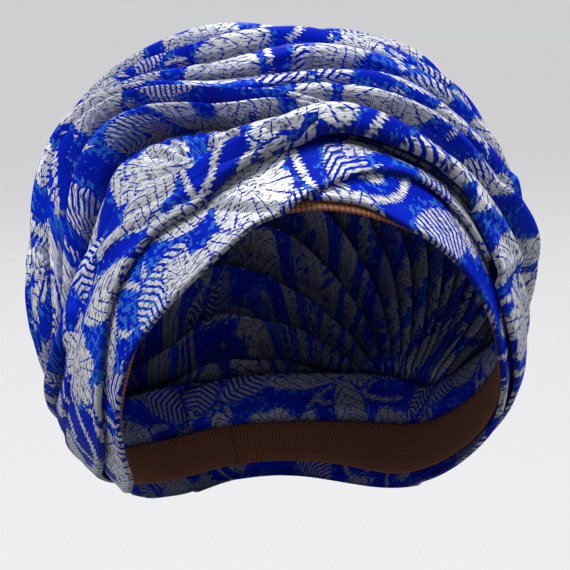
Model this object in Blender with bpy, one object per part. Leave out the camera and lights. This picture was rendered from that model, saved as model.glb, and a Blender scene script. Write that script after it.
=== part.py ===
"""Tied gele head tie: a long brocade cloth wound round the head and pleated over the crown.

Every piece is a sheet of cloth laid over a smooth head form. A place on the head is
given by two angles, as on a globe: phi turns from the forehead towards the wearer's
left ear, and theta rises from brow level to the top. Lift is the height of a surface
above the head form. A sheet's underside lies one clearance above the sheets below it,
so a change of any wall, clearance or edge moves all that lies on top.

Axes: the face looks along -Y, the wearer's left is +X, up is +Z. The origin is the
middle of the head at brow level, which is what the head tie sits on.
"""

import bmesh
import bpy
import numpy as np

MM = 0.001

# The head that the tie is wound on
HEAD_WIDTH = 152 * MM
HEAD_LENGTH = 192 * MM
HEAD_RISE = 96 * MM
HEAD_DROP = 95 * MM
BACK_WIDENING = 0.11
JAW_NARROWING = 0.6

# Cloth
HEAD_CLEARANCE = 0.4 * MM
LINING_WALL = 1.0 * MM
CLOTH_WALL = 1.6 * MM
LAYER_CLEARANCE = 0.8 * MM

# Fullness of the folds above the flat cloth
BAND_PUFF = 0.5 * MM
PANEL_PUFF = 5.5 * MM
FOLD_PUFF = 1.8 * MM
CROWN_FULLNESS = 10.0 * MM
PLEAT_HEIGHT = 5.0 * MM

# Widths in degrees on the head form
EDGE_MARGIN = 2.0
EDGE_SLOPE = 7.0
END_MARGIN = 7.0
END_STRETCH = 3.0
TROUGH_ROOM = 1.6
CROWN_TUCK = 4.0

# The pleats of the crown fan out from a line across the nape, whose place is given in
# shares of the head's half length and drop. Insets are shares of the way across.
HINGE_BACK = 0.40
HINGE_DROP = 0.60
CROWN_INSET = 0.035
RIM_INSET = 0.11
END_FLAT = 0.075
END_EASE = 0.14
PLEAT_LEAN = 0.42

# Height of a pleat halfway down its back slope, as a share of its ridge
BACK_SLOPE_HEIGHT = 0.62

# Facets, and samples along the curves that the facets are read from
CROWN_COLUMNS = 26
STRIP_LENGTH_STEPS = 48
STRIP_WIDTH_STEPS = 6
LINING_WIDTH_STEPS = 2
SAMPLES_A_ROW = 20
RIM_SAMPLES = 161
SHARP_ANGLE = 40

# Colours from the cloth: royal blue with silver, and a brown knitted lining
BROCADE_BLUE = (0.012, 0.030, 0.480, 1.0)
BROCADE_SILVER_BLUE = (0.150, 0.220, 0.620, 1.0)
LINING_BROWN = (0.230, 0.095, 0.050, 1.0)

# Edge tables. Each row is a station along a strip, from its first end to its last: the
# place of its lower edge and of its upper edge on the head, in degrees, and how much of
# its puff it has there.
EDGE_COLUMNS = ("low_phi", "low_theta", "high_phi", "high_theta", "puff")

LINING_EDGES = (
    (-180, -48, -180, -37, 0),
    (-150, -47, -150, -36, 0),
    (-120, -40.5, -120, -30, 0),
    (-95, -29.5, -98, -20, 0),
    (-79, -22, -84, -13, 0),
    (-67, -11.5, -75, -5, 0),
    (-61, 4, -69, 10, 0),
    (-56, 14, -63, 21, 0),
    (-44, 26, -50, 33, 0),
    (-30, 35.5, -34, 43, 0),
    (-15, 38.5, -16, 47, 0),
    (0, 37.5, 0, 48, 0),
    (15, 33.5, 17, 43.5, 0),
    (27, 28.5, 33, 37, 0),
    (37, 19.5, 45, 26.5, 0),
    (44, 10.5, 54, 15, 0),
    (50, 0.5, 62, 4, 0),
    (60, -13.5, 72, -6, 0),
    (76, -28.5, 84, -17, 0),
    (95, -38.5, 98, -26, 0),
    (120, -44, 120, -32, 0),
    (150, -47, 150, -36, 0),
    (180, -48, 180, -37, 0),
)

UNDER_EDGES = (
    (-26, 40, -24, 46, 0),
    (-14, 40, -14, 50, 0),
    (-6, 39.5, -6, 52, 0),
    (3, 38, 3, 52, 0),
    (12, 34, 14, 50, 0.5),
    (20, 30.5, 24, 46, 1),
    (28, 25.5, 35, 40, 1),
    (36, 18, 46, 32, 1),
    (42, 10, 55, 22, 1),
    (47, 1, 63, 11, 1),
    (54, -10, 72, 2, 1),
    (64, -23, 84, -5, 0.5),
    (78, -34, 95, -13, 0),
    (97, -42.5, 105, -19, 0),
    (120, -48, 120, -20, 0),
    (150, -51, 150, -23, 0),
    (180, -52, 180, -24, 0),
    (196, -51, 196, -26, 0),
)

OVER_EDGES = (
    (-198, -50, -198, -26, 0),
    (-180, -51, -180, -24, 0),
    (-150, -51, -150, -23, 0),
    (-120, -44, -120, -20, 0),
    (-97, -33, -105, -18, 0),
    (-80, -25.5, -95, -12, 0.5),
    (-69, -18, -86, -4, 1),
    (-64, -10, -80, 3, 1),
    (-61.5, 1, -75, 12, 1),
    (-57, 11, -70, 22, 1),
    (-45, 23, -58, 34, 1),
    (-30, 34, -42, 43, 1),
    (-20, 37.5, -28, 49, 1),
    (-10, 41, -13, 52.5, 1),
    (0, 43, 0, 53, 1),
    (10, 43.5, 11, 51.5, 1),
    (20, 41.5, 22, 48.5, 1),
    (28, 37.5, 32, 43, 0.8),
    (35, 31, 41, 36.5, 0.5),
    (40, 23.5, 48, 29, 0),
)

PANEL_EDGES = (
    (-74.5, 14, -77, 19, 0),
    (-72, 21, -77, 29, 0),
    (-69, 27, -76.8, 38, 0.3),
    (-62, 33, -73, 45.5, 0.9),
    (-50, 38, -63, 50.5, 0.9),
    (-38, 42, -48, 53, 0.85),
    (-25, 46, -30, 53.5, 1),
    (-13, 49, -14, 55, 1),
    (0, 50, 0, 55, 1),
    (10, 48, 12, 52.5, 0.95),
    (18, 45.5, 21, 49, 0.8),
    (26, 42, 30, 44.5, 0.6),
    (32, 37.5, 36, 40, 0.5),
    (37, 30.5, 43, 34, 0.4),
    (40, 22, 49, 27, 0.4),
    (44, 13, 56, 18, 0.4),
    (51, 2, 65, 9, 0.4),
    (60, -9, 75, 0, 0.4),
    (72, -22, 88, -9, 0.3),
    (88, -33, 101, -19, 0.2),
    (106, -40.5, 115, -25, 0.2),
    (124, -45, 130, -28, 0.2),
    (143, -47, 146, -29.5, 0.2),
    (162, -48.5, 163, -29.5, 0.2),
    (180, -49, 180, -29, 0.2),
)

FOLD_EDGES = (
    (-197, -46, -197, -31, 0.3),
    (-180, -47, -180, -29, 0.5),
    (-155, -47, -155, -29, 0.5),
    (-132, -42, -134, -28, 0.5),
    (-108, -33.5, -116, -23, 0.5),
    (-90, -24.5, -101, -16, 0.8),
    (-76, -16.5, -89, -8, 1),
    (-68, -9, -80, 0, 1),
    (-65, 2, -76.5, 8, 1),
    (-63.5, 12, -76, 17, 1),
    (-61.5, 21, -73.5, 26, 1),
    (-54, 31, -65.5, 34.5, 1),
    (-43, 37, -51, 40.5, 1),
    (-32, 42.5, -38, 45, 0.9),
    (-22, 46.5, -25, 48.4, 0.6),
    (-13, 49.2, -14, 50.3, 0.2),
    (-9, 50.2, -9, 50.9, 0),
)

# Pleats of the crown, front to back. Swell and height are shares of CROWN_FULLNESS and
# PLEAT_HEIGHT. The other columns give the ridge's angle about the hinge line, in
# degrees, at these shares of the way from the wearer's right ear over the top to the
# left ear.
PLEAT_STATIONS = (0.08, 0.24, 0.32, 0.42, 0.50, 0.60, 0.76, 0.92)
PLEATS = (
    (0.60, 1.25, 53, 61, 72.5, 61.5, 59.0, 54.0, 47, 53),
    (0.70, 0.95, 57, 68, 77.5, 65.0, 61.5, 57.5, 52, 57),
    (0.80, 1.00, 62, 74, 82.5, 69.0, 64.5, 61.0, 58, 61),
    (0.90, 1.05, 67, 80, 87.5, 73.0, 68.0, 65.0, 64, 65),
    (1.00, 1.10, 72, 86, 92.5, 78.0, 72.0, 70.0, 70, 70),
    (1.00, 1.00, 78, 91, 98.0, 84.0, 77.5, 76.0, 76, 75),
    (1.00, 0.90, 85, 97, 103.5, 90.5, 83.5, 82.5, 83, 79),
    (1.00, 1.00, 92, 103, 109.0, 97.0, 90.0, 89.5, 90, 87),
    (0.98, 0.90, 99, 109, 115.0, 104.0, 97.0, 97.0, 98, 95),
    (0.95, 1.00, 106, 115, 121.0, 111.5, 104.5, 104.5, 106, 102),
    (0.90, 0.90, 112, 122, 127.5, 119.5, 112.5, 113.0, 114, 109),
    (0.85, 0.95, 118, 129, 134.0, 128.0, 121.5, 122.0, 123, 116),
    (0.75, 0.85, 124, 136, 140.5, 136.5, 131.0, 131.5, 132, 123),
    (0.60, 0.80, 130, 142, 147.0, 145.0, 141.0, 141.0, 140, 129),
    (0.45, 0.60, 136, 148, 153.5, 153.0, 151.0, 151.0, 147, 135),
)

# Shares of the swell and of the pleats' height at the same stations
SWELL_ACROSS = (0.30, 0.95, 1.25, 1.15, 1.00, 1.30, 1.00, 0.25)
HEIGHT_ACROSS = (0.40, 0.90, 1.00, 0.95, 0.90, 0.85, 0.80, 0.40)


def ease(share):
    """Rise from 0 to 1 with no corner at either end."""
    share = np.clip(share, 0.0, 1.0)
    return share * share * (3.0 - 2.0 * share)


def glide(places, knots, values):
    """Smooth curve through the values at the knots, read at the places."""
    knots = np.asarray(knots, float)
    values = np.asarray(values, float)
    slopes = np.gradient(values, knots)
    places = np.clip(places, knots[0], knots[-1])
    first = np.clip(np.searchsorted(knots, places, side="right") - 1, 0, len(knots) - 2)
    span = knots[first + 1] - knots[first]
    t = (places - knots[first]) / span
    values_part = (1.0 + 2.0 * t) * (1.0 - t) ** 2 * values[first] + t * t * (3.0 - 2.0 * t) * values[first + 1]
    slopes_part = t * (1.0 - t) ** 2 * slopes[first] + t * t * (t - 1.0) * slopes[first + 1]
    return values_part + span * slopes_part


def direction(phi, theta):
    """Direction from the head's middle to a place on the head."""
    phi = np.radians(phi)
    theta = np.radians(theta)
    return np.stack((np.cos(theta) * np.sin(phi), -np.cos(theta) * np.cos(phi), np.sin(theta)), -1)


def globe_angles(ray):
    """Phi and theta of a direction, in degrees."""
    phi = np.degrees(np.arctan2(ray[..., 0], -ray[..., 1]))
    theta = np.degrees(np.arcsin(np.clip(ray[..., 2], -1.0, 1.0)))
    return phi, theta


def place(ray, lift):
    """Point at this lift above the head form, in this direction."""
    x, y, z = ray[..., 0], ray[..., 1], ray[..., 2]
    narrowing = 1.0 - JAW_NARROWING * np.minimum(z, 0.0) ** 2 * (1.0 - y)
    half_width = HEAD_WIDTH / 2 * (1.0 + BACK_WIDENING * y) * narrowing
    half_height = np.where(z > 0.0, HEAD_RISE, HEAD_DROP)
    return np.stack(((half_width + lift) * x, (HEAD_LENGTH / 2 + lift) * y, (half_height + lift) * z), -1)


def hinge_circle(angle):
    """Middle, radius and start of the circle that a hinge plane cuts from the unit ball."""
    middle = HINGE_BACK * np.cos(angle) + HINGE_DROP * np.sin(angle)
    radius = np.sqrt(1.0 - HINGE_BACK**2 - HINGE_DROP**2 + middle**2)
    return middle, radius, -np.arcsin(middle / radius)


def hinge_ray(across, angle):
    """Direction at a share of the way across the head, in the plane at this hinge angle."""
    angle = np.radians(angle)
    middle, radius, start = hinge_circle(angle)
    turn = start + across * (np.pi - 2.0 * start)
    reach = middle + radius * np.sin(turn)
    forward = HINGE_BACK - reach * np.cos(angle)
    return np.stack((-radius * np.cos(turn), forward, reach * np.sin(angle) - HINGE_DROP), -1)


def hinge_place(ray):
    """Share across the head and hinge angle of a direction, the reverse of hinge_ray."""
    back = HINGE_BACK - ray[..., 1]
    rise = ray[..., 2] + HINGE_DROP
    angle = np.arctan2(rise, back)
    angle = np.where(angle < -np.pi / 2, angle + 2.0 * np.pi, angle)
    middle, radius, start = hinge_circle(angle)
    turn = np.arctan2(np.hypot(back, rise) - middle, -ray[..., 0])
    turn = np.where(turn < start - 0.01, turn + 2.0 * np.pi, turn)
    return (turn - start) / (np.pi - 2.0 * start), np.degrees(angle)


def seat_over(lower, phi, theta):
    """Lift at which a sheet clears all of the sheets below it."""
    lift = np.full(np.broadcast(phi, theta).shape, HEAD_CLEARANCE)
    for sheet in lower:
        cleared = sheet.top(phi, theta) + LAYER_CLEARANCE
        cover = ease((sheet.depth(phi, theta) + EDGE_MARGIN) / EDGE_SLOPE + 1.0)
        lift = np.maximum(lift, cover * cleared)
    return lift


class Strip:
    """A strip of cloth wound round the head, between two edge curves."""

    def __init__(self, edges, wall, puff, lower, width_steps, closed=False):
        self.table = dict(zip(EDGE_COLUMNS, np.array(edges, float).T))
        self.rows = np.arange(len(edges))
        self.wall = wall
        self.puff = puff
        self.lower = lower
        self.width_steps = width_steps
        self.closed = closed
        dense = np.linspace(0, len(edges) - 1, SAMPLES_A_ROW * len(edges))
        self.low = self.edge("low", dense)
        self.high = self.edge("high", dense)
        self.puff_along = self.column("puff", dense)
        self.first = min(self.low[0][0], self.high[0][0])
        self.last = max(self.low[0][-1], self.high[0][-1])

    def column(self, name, along):
        """One column of the edge table, read smoothly between its rows."""
        return glide(along, self.rows, self.table[name])

    def edge(self, side, along):
        """One edge as phi, theta, and the factor by which its slope lengthens a height."""
        phi = self.column(side + "_phi", along)
        theta = self.column(side + "_theta", along)
        steep = np.gradient(theta, phi) / np.cos(np.radians(theta))
        return phi, theta, np.sqrt(1.0 + steep**2)

    def on_strip(self, phi):
        """The same angle, a turn away where that is nearer to this strip."""
        middle = (self.first + self.last) / 2
        return middle + (phi - middle + 180.0) % 360.0 - 180.0

    def depth(self, phi, theta):
        """Distance inside the strip's nearest edge, in degrees, negative outside."""
        depths = []
        for turned in (self.on_strip(phi), self.on_strip(phi) + 360.0, self.on_strip(phi) - 360.0):
            above = (theta - np.interp(turned, *self.low[:2])) / np.interp(turned, self.low[0], self.low[2])
            below = (np.interp(turned, *self.high[:2]) - theta) / np.interp(turned, self.high[0], self.high[2])
            depth = np.minimum(above, below)
            if not self.closed:
                from_ends = np.minimum(turned - self.first, self.last - turned)
                depth = np.minimum(depth, (from_ends + END_MARGIN) / END_STRETCH)
            depths.append(depth)
        return np.maximum.reduce(depths)

    def share_across(self, phi, theta):
        """Share of the way from the lower edge to the upper one."""
        phi = self.on_strip(phi)
        low = np.interp(phi, *self.low[:2])
        high = np.interp(phi, *self.high[:2])
        return np.clip((theta - low) / np.maximum(high - low, 1.0), 0.0, 1.0)

    def swell(self, across, puff_share):
        """Height of the puff across the strip, zero at both edges."""
        return self.puff * puff_share * np.sin(np.pi * across) ** 2

    def top(self, phi, theta):
        """Lift of the strip's outer face."""
        puff_share = np.interp(self.on_strip(phi), self.low[0], self.puff_along)
        swell = self.swell(self.share_across(phi, theta), puff_share)
        return seat_over(self.lower, phi, theta) + swell + self.wall

    def grids(self):
        """Outer and inner points, by rows along the strip."""
        along = np.linspace(0, len(self.rows) - 1, STRIP_LENGTH_STEPS + 1)[:, None]
        across = np.linspace(0.0, 1.0, self.width_steps + 1)[None, :]
        phi = self.column("low_phi", along) * (1.0 - across) + self.column("high_phi", along) * across
        theta = self.column("low_theta", along) * (1.0 - across) + self.column("high_theta", along) * across
        inner = seat_over(self.lower, phi, theta) + self.swell(across, self.column("puff", along))
        ray = direction(phi, theta)
        return place(ray, inner + self.wall), place(ray, inner)


class Crown:
    """The pleated sheet over the top of the head, tucked in under the wraps all round."""

    closed = False

    def __init__(self, wall, lower, cover_edges):
        self.wall = wall
        self.lower = lower
        self.pleats = np.array(PLEATS, float)
        self.across = np.linspace(RIM_INSET, 1.0 - RIM_INSET, RIM_SAMPLES)
        self.front = np.full_like(self.across, -np.inf)
        self.back = np.full_like(self.across, np.inf)
        for edges in cover_edges:
            self.take_rim(Strip(edges, wall, 0.0, (), STRIP_WIDTH_STEPS))

    def take_rim(self, wrap):
        """Come out past the upper edge of a wrap that covers the rim."""
        share, angle = hinge_place(direction(*wrap.high[:2]))
        front = angle < 90.0
        order = np.argsort(share[front])
        edge = np.interp(self.across, share[front][order], angle[front][order], left=-np.inf, right=-np.inf)
        self.front = np.maximum(self.front, edge + TROUGH_ROOM)
        order = np.argsort(share[~front])
        edge = np.interp(self.across, share[~front][order], angle[~front][order], left=np.inf, right=np.inf)
        self.back = np.minimum(self.back, edge - TROUGH_ROOM)

    def troughs(self, across):
        """Hinge angles where the crown comes out at the front and goes in at the back."""
        return np.interp(across, self.across, self.front), np.interp(across, self.across, self.back)

    def ridge(self, pleat, across):
        """Hinge angle of one pleat's ridge."""
        front, back = self.troughs(np.array(PLEAT_STATIONS))
        shares = (pleat[2:] - front) / (back - front)
        front, back = self.troughs(across)
        return front + (back - front) * glide(across, PLEAT_STATIONS, shares)

    def depth(self, phi, theta):
        """Distance inside the crown's nearest edge, in degrees, negative outside."""
        ray = direction(phi, theta)
        across, angle = hinge_place(ray)
        reach = np.hypot(HINGE_BACK - ray[..., 1], HINGE_DROP + ray[..., 2])
        front, back = self.troughs(across)
        inside_ends = np.minimum(across - CROWN_INSET, 1.0 - CROWN_INSET - across) * 180.0
        inside_rims = (np.minimum(angle - front, back - angle) + CROWN_TUCK) * reach
        return np.minimum(inside_ends, inside_rims)

    def top(self, phi, theta):
        """Lift of the crown's outer face where it lies flat under the wraps."""
        return seat_over(self.lower, phi, theta) + self.wall

    def lines(self, across):
        """Each grid line as its hinge angle, its share of the swell and its pleat height."""
        front, back = self.troughs(across)
        yield front - CROWN_TUCK, 0.0, 0.0
        yield front - CROWN_TUCK / 2, 0.0, 0.0
        yield front, 0.0, 0.0
        before, before_swell = front, 0.0
        for number, pleat in enumerate(self.pleats):
            ridge = self.ridge(pleat, across)
            if number:
                valley = ridge - PLEAT_LEAN * (ridge - before)
                yield valley, (pleat[0] + before_swell) / 2, 0.0
            yield ridge, pleat[0], pleat[1]
            if number + 1 < len(self.pleats):
                after = self.ridge(self.pleats[number + 1], across)
                yield ridge + (after - ridge) * (1.0 - PLEAT_LEAN) / 2, pleat[0], BACK_SLOPE_HEIGHT * pleat[1]
            before, before_swell = ridge, pleat[0]
        yield back, 0.0, 0.0
        yield back + CROWN_TUCK / 2, 0.0, 0.0
        yield back + CROWN_TUCK, 0.0, 0.0

    def grids(self):
        """Outer and inner points, by rows along the pleats."""
        across = np.linspace(CROWN_INSET, 1.0 - CROWN_INSET, CROWN_COLUMNS + 1)
        end_share = ease((np.minimum(across, 1.0 - across) - END_FLAT) / END_EASE)
        fullness = CROWN_FULLNESS * end_share * glide(across, PLEAT_STATIONS, SWELL_ACROSS)
        height = PLEAT_HEIGHT * end_share * glide(across, PLEAT_STATIONS, HEIGHT_ACROSS)
        outer, inner = [], []
        for angle, swell, pleat in self.lines(across):
            ray = hinge_ray(across, angle)
            lift = seat_over(self.lower, *globe_angles(ray)) + fullness * swell + height * pleat
            outer.append(place(ray, lift + self.wall))
            inner.append(place(ray, lift))
        return np.array(outer), np.array(inner)


def shell(name, sheet, material):
    """Closed solid between a sheet's outer and inner grids."""
    outer, inner = sheet.grids()
    if sheet.closed:
        outer, inner = outer[:-1], inner[:-1]
    rows, columns = outer.shape[:2]
    index = np.arange(rows * columns).reshape(rows, columns)
    if sheet.closed:
        index = np.vstack((index, index[:1]))
    under = index + rows * columns
    quads = []
    for a, b, c, d in (
        (index[:-1, :-1], index[1:, :-1], index[1:, 1:], index[:-1, 1:]),
        (under[:-1, :-1], under[:-1, 1:], under[1:, 1:], under[1:, :-1]),
        (index[:-1, 0], under[:-1, 0], under[1:, 0], index[1:, 0]),
        (index[:-1, -1], index[1:, -1], under[1:, -1], under[:-1, -1]),
        (index[0, :-1], index[0, 1:], under[0, 1:], under[0, :-1]),
        (index[-1, :-1], under[-1, :-1], under[-1, 1:], index[-1, 1:]),
    ):
        quads.append(np.stack((a, b, c, d), -1).reshape(-1, 4))
    if sheet.closed:
        quads = quads[:4]
    mesh = bpy.data.meshes.new(name)
    points = np.concatenate((outer.reshape(-1, 3), inner.reshape(-1, 3)))
    mesh.from_pydata(points.tolist(), [], np.concatenate(quads).tolist())
    facets = bmesh.new()
    facets.from_mesh(mesh)
    bmesh.ops.triangulate(facets, faces=facets.faces[:], quad_method="FIXED")
    if facets.calc_volume(signed=True) < 0.0:
        bmesh.ops.reverse_faces(facets, faces=facets.faces[:])
    facets.to_mesh(mesh)
    facets.free()
    mesh.shade_smooth()
    mesh.set_sharp_from_angle(angle=np.radians(SHARP_ANGLE))
    mesh.materials.append(material)
    piece = bpy.data.objects.new(name, mesh)
    bpy.context.scene.collection.objects.link(piece)
    return piece


def cloth_material(name, colour, roughness, metallic):
    """Plain finish of one kind of cloth."""
    material = bpy.data.materials.new(name)
    material.use_nodes = True
    surface = material.node_tree.nodes["Principled BSDF"]
    surface.inputs["Base Color"].default_value = colour
    surface.inputs["Roughness"].default_value = roughness
    surface.inputs["Metallic"].default_value = metallic
    return material


def build():
    """Lay the sheets one over another, from the skin outwards."""
    for leftover in list(bpy.data.objects):
        bpy.data.objects.remove(leftover)

    lining = Strip(LINING_EDGES, LINING_WALL, 0.0, (), LINING_WIDTH_STEPS, closed=True)
    under = Strip(UNDER_EDGES, CLOTH_WALL, BAND_PUFF, (lining,), STRIP_WIDTH_STEPS)
    over = Strip(OVER_EDGES, CLOTH_WALL, BAND_PUFF, (lining, under), STRIP_WIDTH_STEPS)
    crown = Crown(CLOTH_WALL, (lining, under, over), (PANEL_EDGES, FOLD_EDGES))
    below_panel = (lining, under, over, crown)
    panel = Strip(PANEL_EDGES, CLOTH_WALL, PANEL_PUFF, below_panel, STRIP_WIDTH_STEPS)
    fold = Strip(FOLD_EDGES, CLOTH_WALL, FOLD_PUFF, below_panel + (panel,), STRIP_WIDTH_STEPS)

    for name, sheet, colour, roughness, metallic in (
        ("lining_band", lining, LINING_BROWN, 0.9, 0.0),
        ("band_under", under, BROCADE_BLUE, 0.5, 0.2),
        ("band_over", over, BROCADE_BLUE, 0.5, 0.2),
        ("crown", crown, BROCADE_SILVER_BLUE, 0.5, 0.3),
        ("wrap_puff", panel, BROCADE_SILVER_BLUE, 0.5, 0.3),
        ("wrap_fold", fold, BROCADE_SILVER_BLUE, 0.5, 0.3),
    ):
        shell(name, sheet, cloth_material(name, colour, roughness, metallic))


build()
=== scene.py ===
"""Looks of the tied gele head tie: fine cloth surfaces, woven brocade and studio.

The cloth lies over a smooth head form. A place on the head is given by two angles, as
on a globe: phi turns from the forehead towards the wearer's left ear, theta rises from
brow level to the top. Lift is the height of a surface above the head form. Lengths are
in metres, apart from the weave's, which are in millimetres of cloth.
"""

import logging
import math
from dataclasses import dataclass, field
from enum import Enum

import bpy
import numpy as np
from mathutils import Matrix


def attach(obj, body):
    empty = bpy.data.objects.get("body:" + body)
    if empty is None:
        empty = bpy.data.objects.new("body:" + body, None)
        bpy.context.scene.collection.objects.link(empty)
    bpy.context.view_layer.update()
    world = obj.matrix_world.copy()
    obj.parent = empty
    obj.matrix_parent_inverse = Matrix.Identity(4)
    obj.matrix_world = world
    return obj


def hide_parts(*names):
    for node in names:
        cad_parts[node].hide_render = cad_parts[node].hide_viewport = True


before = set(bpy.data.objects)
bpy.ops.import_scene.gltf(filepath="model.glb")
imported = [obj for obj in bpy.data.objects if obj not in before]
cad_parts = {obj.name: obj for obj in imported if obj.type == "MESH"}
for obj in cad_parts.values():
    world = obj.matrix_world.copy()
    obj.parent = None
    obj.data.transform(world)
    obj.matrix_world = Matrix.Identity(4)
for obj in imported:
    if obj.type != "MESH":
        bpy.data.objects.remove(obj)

MM = 0.001
GOLDEN_RATIO = 0.6180339887
Grid = np.ndarray
log = logging.getLogger("gele")


class Held(Enum):
    """How a sheet of cloth is kept in its shape."""

    FOLDED = "folded"
    GATHERED = "gathered"
    STRETCHED = "stretched"


class Motif(Enum):
    """Figures of the brocade."""

    FLOWER = "flower"
    LEAF = "leaf"
    FERN = "fern"
    STEM = "stem"
    CLOUD = "cloud"


def ease(share: Grid) -> Grid:
    """Rise from 0 to 1 with no corner at either end: 3 s squared less 2 s cubed.

    Args:
        share: how far along the rise, held between 0 and 1.

    Returns:
        The eased share.
    """
    share = np.clip(share, 0.0, 1.0)
    return share * share * (3.0 - 2.0 * share)


def glide(places: Grid, knots: Grid, values: Grid) -> Grid:
    """Smooth curve through knots: cubic Hermite pieces with central-difference slopes.

    Args:
        places: where the curve is read.
        knots: rising places of the given values.
        values: one value a knot.

    Returns:
        The curve's value at each place.
    """
    knots = np.asarray(knots, float)
    values = np.asarray(values, float)
    slopes = np.gradient(values, knots)
    places = np.clip(places, knots[0], knots[-1])
    first = np.clip(np.searchsorted(knots, places, side="right") - 1, 0, len(knots) - 2)
    span = knots[first + 1] - knots[first]
    t = (places - knots[first]) / span
    start = (1.0 + 2.0 * t) * values[first] + t * span * slopes[first]
    end = (3.0 - 2.0 * t) * values[first + 1] + (t - 1.0) * span * slopes[first + 1]
    return (1.0 - t) ** 2 * start + t * t * end


def wander(place: Grid, seed: float, waves: int = 4) -> Grid:
    """Smooth wandering curve between about -1 and 1.

    It is a sum of sines, each 1.8 times as fast and 0.7 times as high as the last, with
    phases spread by the golden ratio from the seed.

    Args:
        place: where the curve is read, one slowest wave to each unit.
        seed: any number; each gives another curve.
        waves: how many sines are summed.

    Returns:
        The curve's value at each place.
    """
    faster, lower, scale = 1.8, 0.7, 1.4
    total, height = 0.0, 0.0
    for wave in range(waves):
        phase = 2.0 * np.pi * ((seed * GOLDEN_RATIO + wave * GOLDEN_RATIO**2) % 1.0)
        total = total + lower**wave * np.sin(2.0 * np.pi * faster**wave * place + phase)
        height += lower**wave
    return total / height * scale


def crease(place: Grid, sharpness: float = 0.8) -> Grid:
    """Sharp valleys a unit apart with round tops between: 1 less twice a power of |sin|.

    Args:
        place: where the curve is read, with a sharp turn at each whole number.
        sharpness: power of the sine; lower is sharper.

    Returns:
        Values between -1 and 1, which are 1 at the whole numbers.
    """
    return 1.0 - 2.0 * np.abs(np.sin(np.pi * place)) ** sharpness


@dataclass(frozen=True)
class HeadForm:
    """The smooth head under the cloth, and the line across the nape that pleats fan from.

    The hinge line runs from side to side. Its place behind and below the head's middle is
    in shares of the head's half length and half height.
    """

    width: float = 152 * MM
    length: float = 192 * MM
    rise: float = 96 * MM
    drop: float = 95 * MM
    back_widening: float = 0.11
    jaw_narrowing: float = 0.6
    hinge_back: float = 0.40
    hinge_drop: float = 0.60

    def direction(self, phi: Grid, theta: Grid) -> Grid:
        """Unit ray from the head's middle, as a globe's longitude and latitude give it.

        Args:
            phi: degrees from the forehead towards the left ear.
            theta: degrees up from brow level.

        Returns:
            Rays, with x, y and z on the last axis.
        """
        phi, theta = np.radians(phi), np.radians(theta)
        level = np.cos(theta)
        return np.stack((level * np.sin(phi), -level * np.cos(phi), np.sin(theta)), -1)

    def angles(self, ray: Grid) -> tuple[Grid, Grid]:
        """Phi and theta of a unit ray: the reverse of direction.

        Args:
            ray: unit rays.

        Returns:
            Phi and theta in degrees.
        """
        phi = np.degrees(np.arctan2(ray[..., 0], -ray[..., 1]))
        return phi, np.degrees(np.arcsin(np.clip(ray[..., 2], -1.0, 1.0)))

    def place(self, ray: Grid, lift: Grid) -> Grid:
        """Point on the head form's ellipsoid along a ray, pushed out by the lift.

        Below brow level the half width shrinks with the square of the ray's z, most at
        the front. The half width grows towards the back.

        Args:
            ray: unit rays.
            lift: height above the head form in metres.

        Returns:
            Points in metres.
        """
        x, y, z = ray[..., 0], ray[..., 1], ray[..., 2]
        narrowing = 1.0 - self.jaw_narrowing * np.minimum(z, 0.0) ** 2 * (1.0 - y)
        half_width = self.width / 2 * (1.0 + self.back_widening * y) * narrowing
        half_height = np.where(z > 0.0, self.rise, self.drop)
        halves = np.stack(np.broadcast_arrays(half_width, self.length / 2, half_height), -1)
        return (halves + lift[..., None]) * ray

    def hinge_circle(self, angle: Grid) -> tuple[Grid, Grid, Grid]:
        """The circle that a plane through the hinge line cuts from the unit ball.

        Args:
            angle: the plane's angle round the hinge in radians, level to the front at 0.

        Returns:
            Distance from the hinge to the circle's middle, its radius, and the turn in
            radians at which it passes the hinge line.
        """
        middle = self.hinge_back * np.cos(angle) + self.hinge_drop * np.sin(angle)
        radius = np.sqrt(1.0 - self.hinge_back**2 - self.hinge_drop**2 + middle**2)
        return middle, radius, -np.arcsin(middle / radius)

    def hinge_ray(self, across: Grid, angle: Grid) -> Grid:
        """Unit ray a share of the way across the head, in the plane at this hinge angle.

        The share goes evenly round the circle that the plane cuts, from ear to ear.

        Args:
            across: share of the way from the right side to the left.
            angle: the plane's angle round the hinge, in degrees.

        Returns:
            Rays, with x, y and z on the last axis.
        """
        angle = np.radians(angle)
        middle, radius, start = self.hinge_circle(angle)
        turn = start + across * (np.pi - 2.0 * start)
        reach = middle + radius * np.sin(turn)
        forward = self.hinge_back - reach * np.cos(angle)
        up = reach * np.sin(angle) - self.hinge_drop
        return np.stack((-radius * np.cos(turn), forward, up), -1)

    def hinge_place(self, ray: Grid) -> tuple[Grid, Grid]:
        """Share across the head and hinge angle of a unit ray: the reverse of hinge_ray.

        Args:
            ray: unit rays.

        Returns:
            The share, and the angle in degrees.
        """
        back = self.hinge_back - ray[..., 1]
        rise = ray[..., 2] + self.hinge_drop
        angle = np.arctan2(rise, back)
        angle = np.where(angle < -np.pi / 2, angle + 2.0 * np.pi, angle)
        middle, radius, start = self.hinge_circle(angle)
        turn = np.arctan2(np.hypot(back, rise) - middle, -ray[..., 0])
        turn = np.where(turn < start - 0.01, turn + 2.0 * np.pi, turn)
        return (turn - start) / (np.pi - 2.0 * start), np.degrees(angle)


HEAD = HeadForm()


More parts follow.
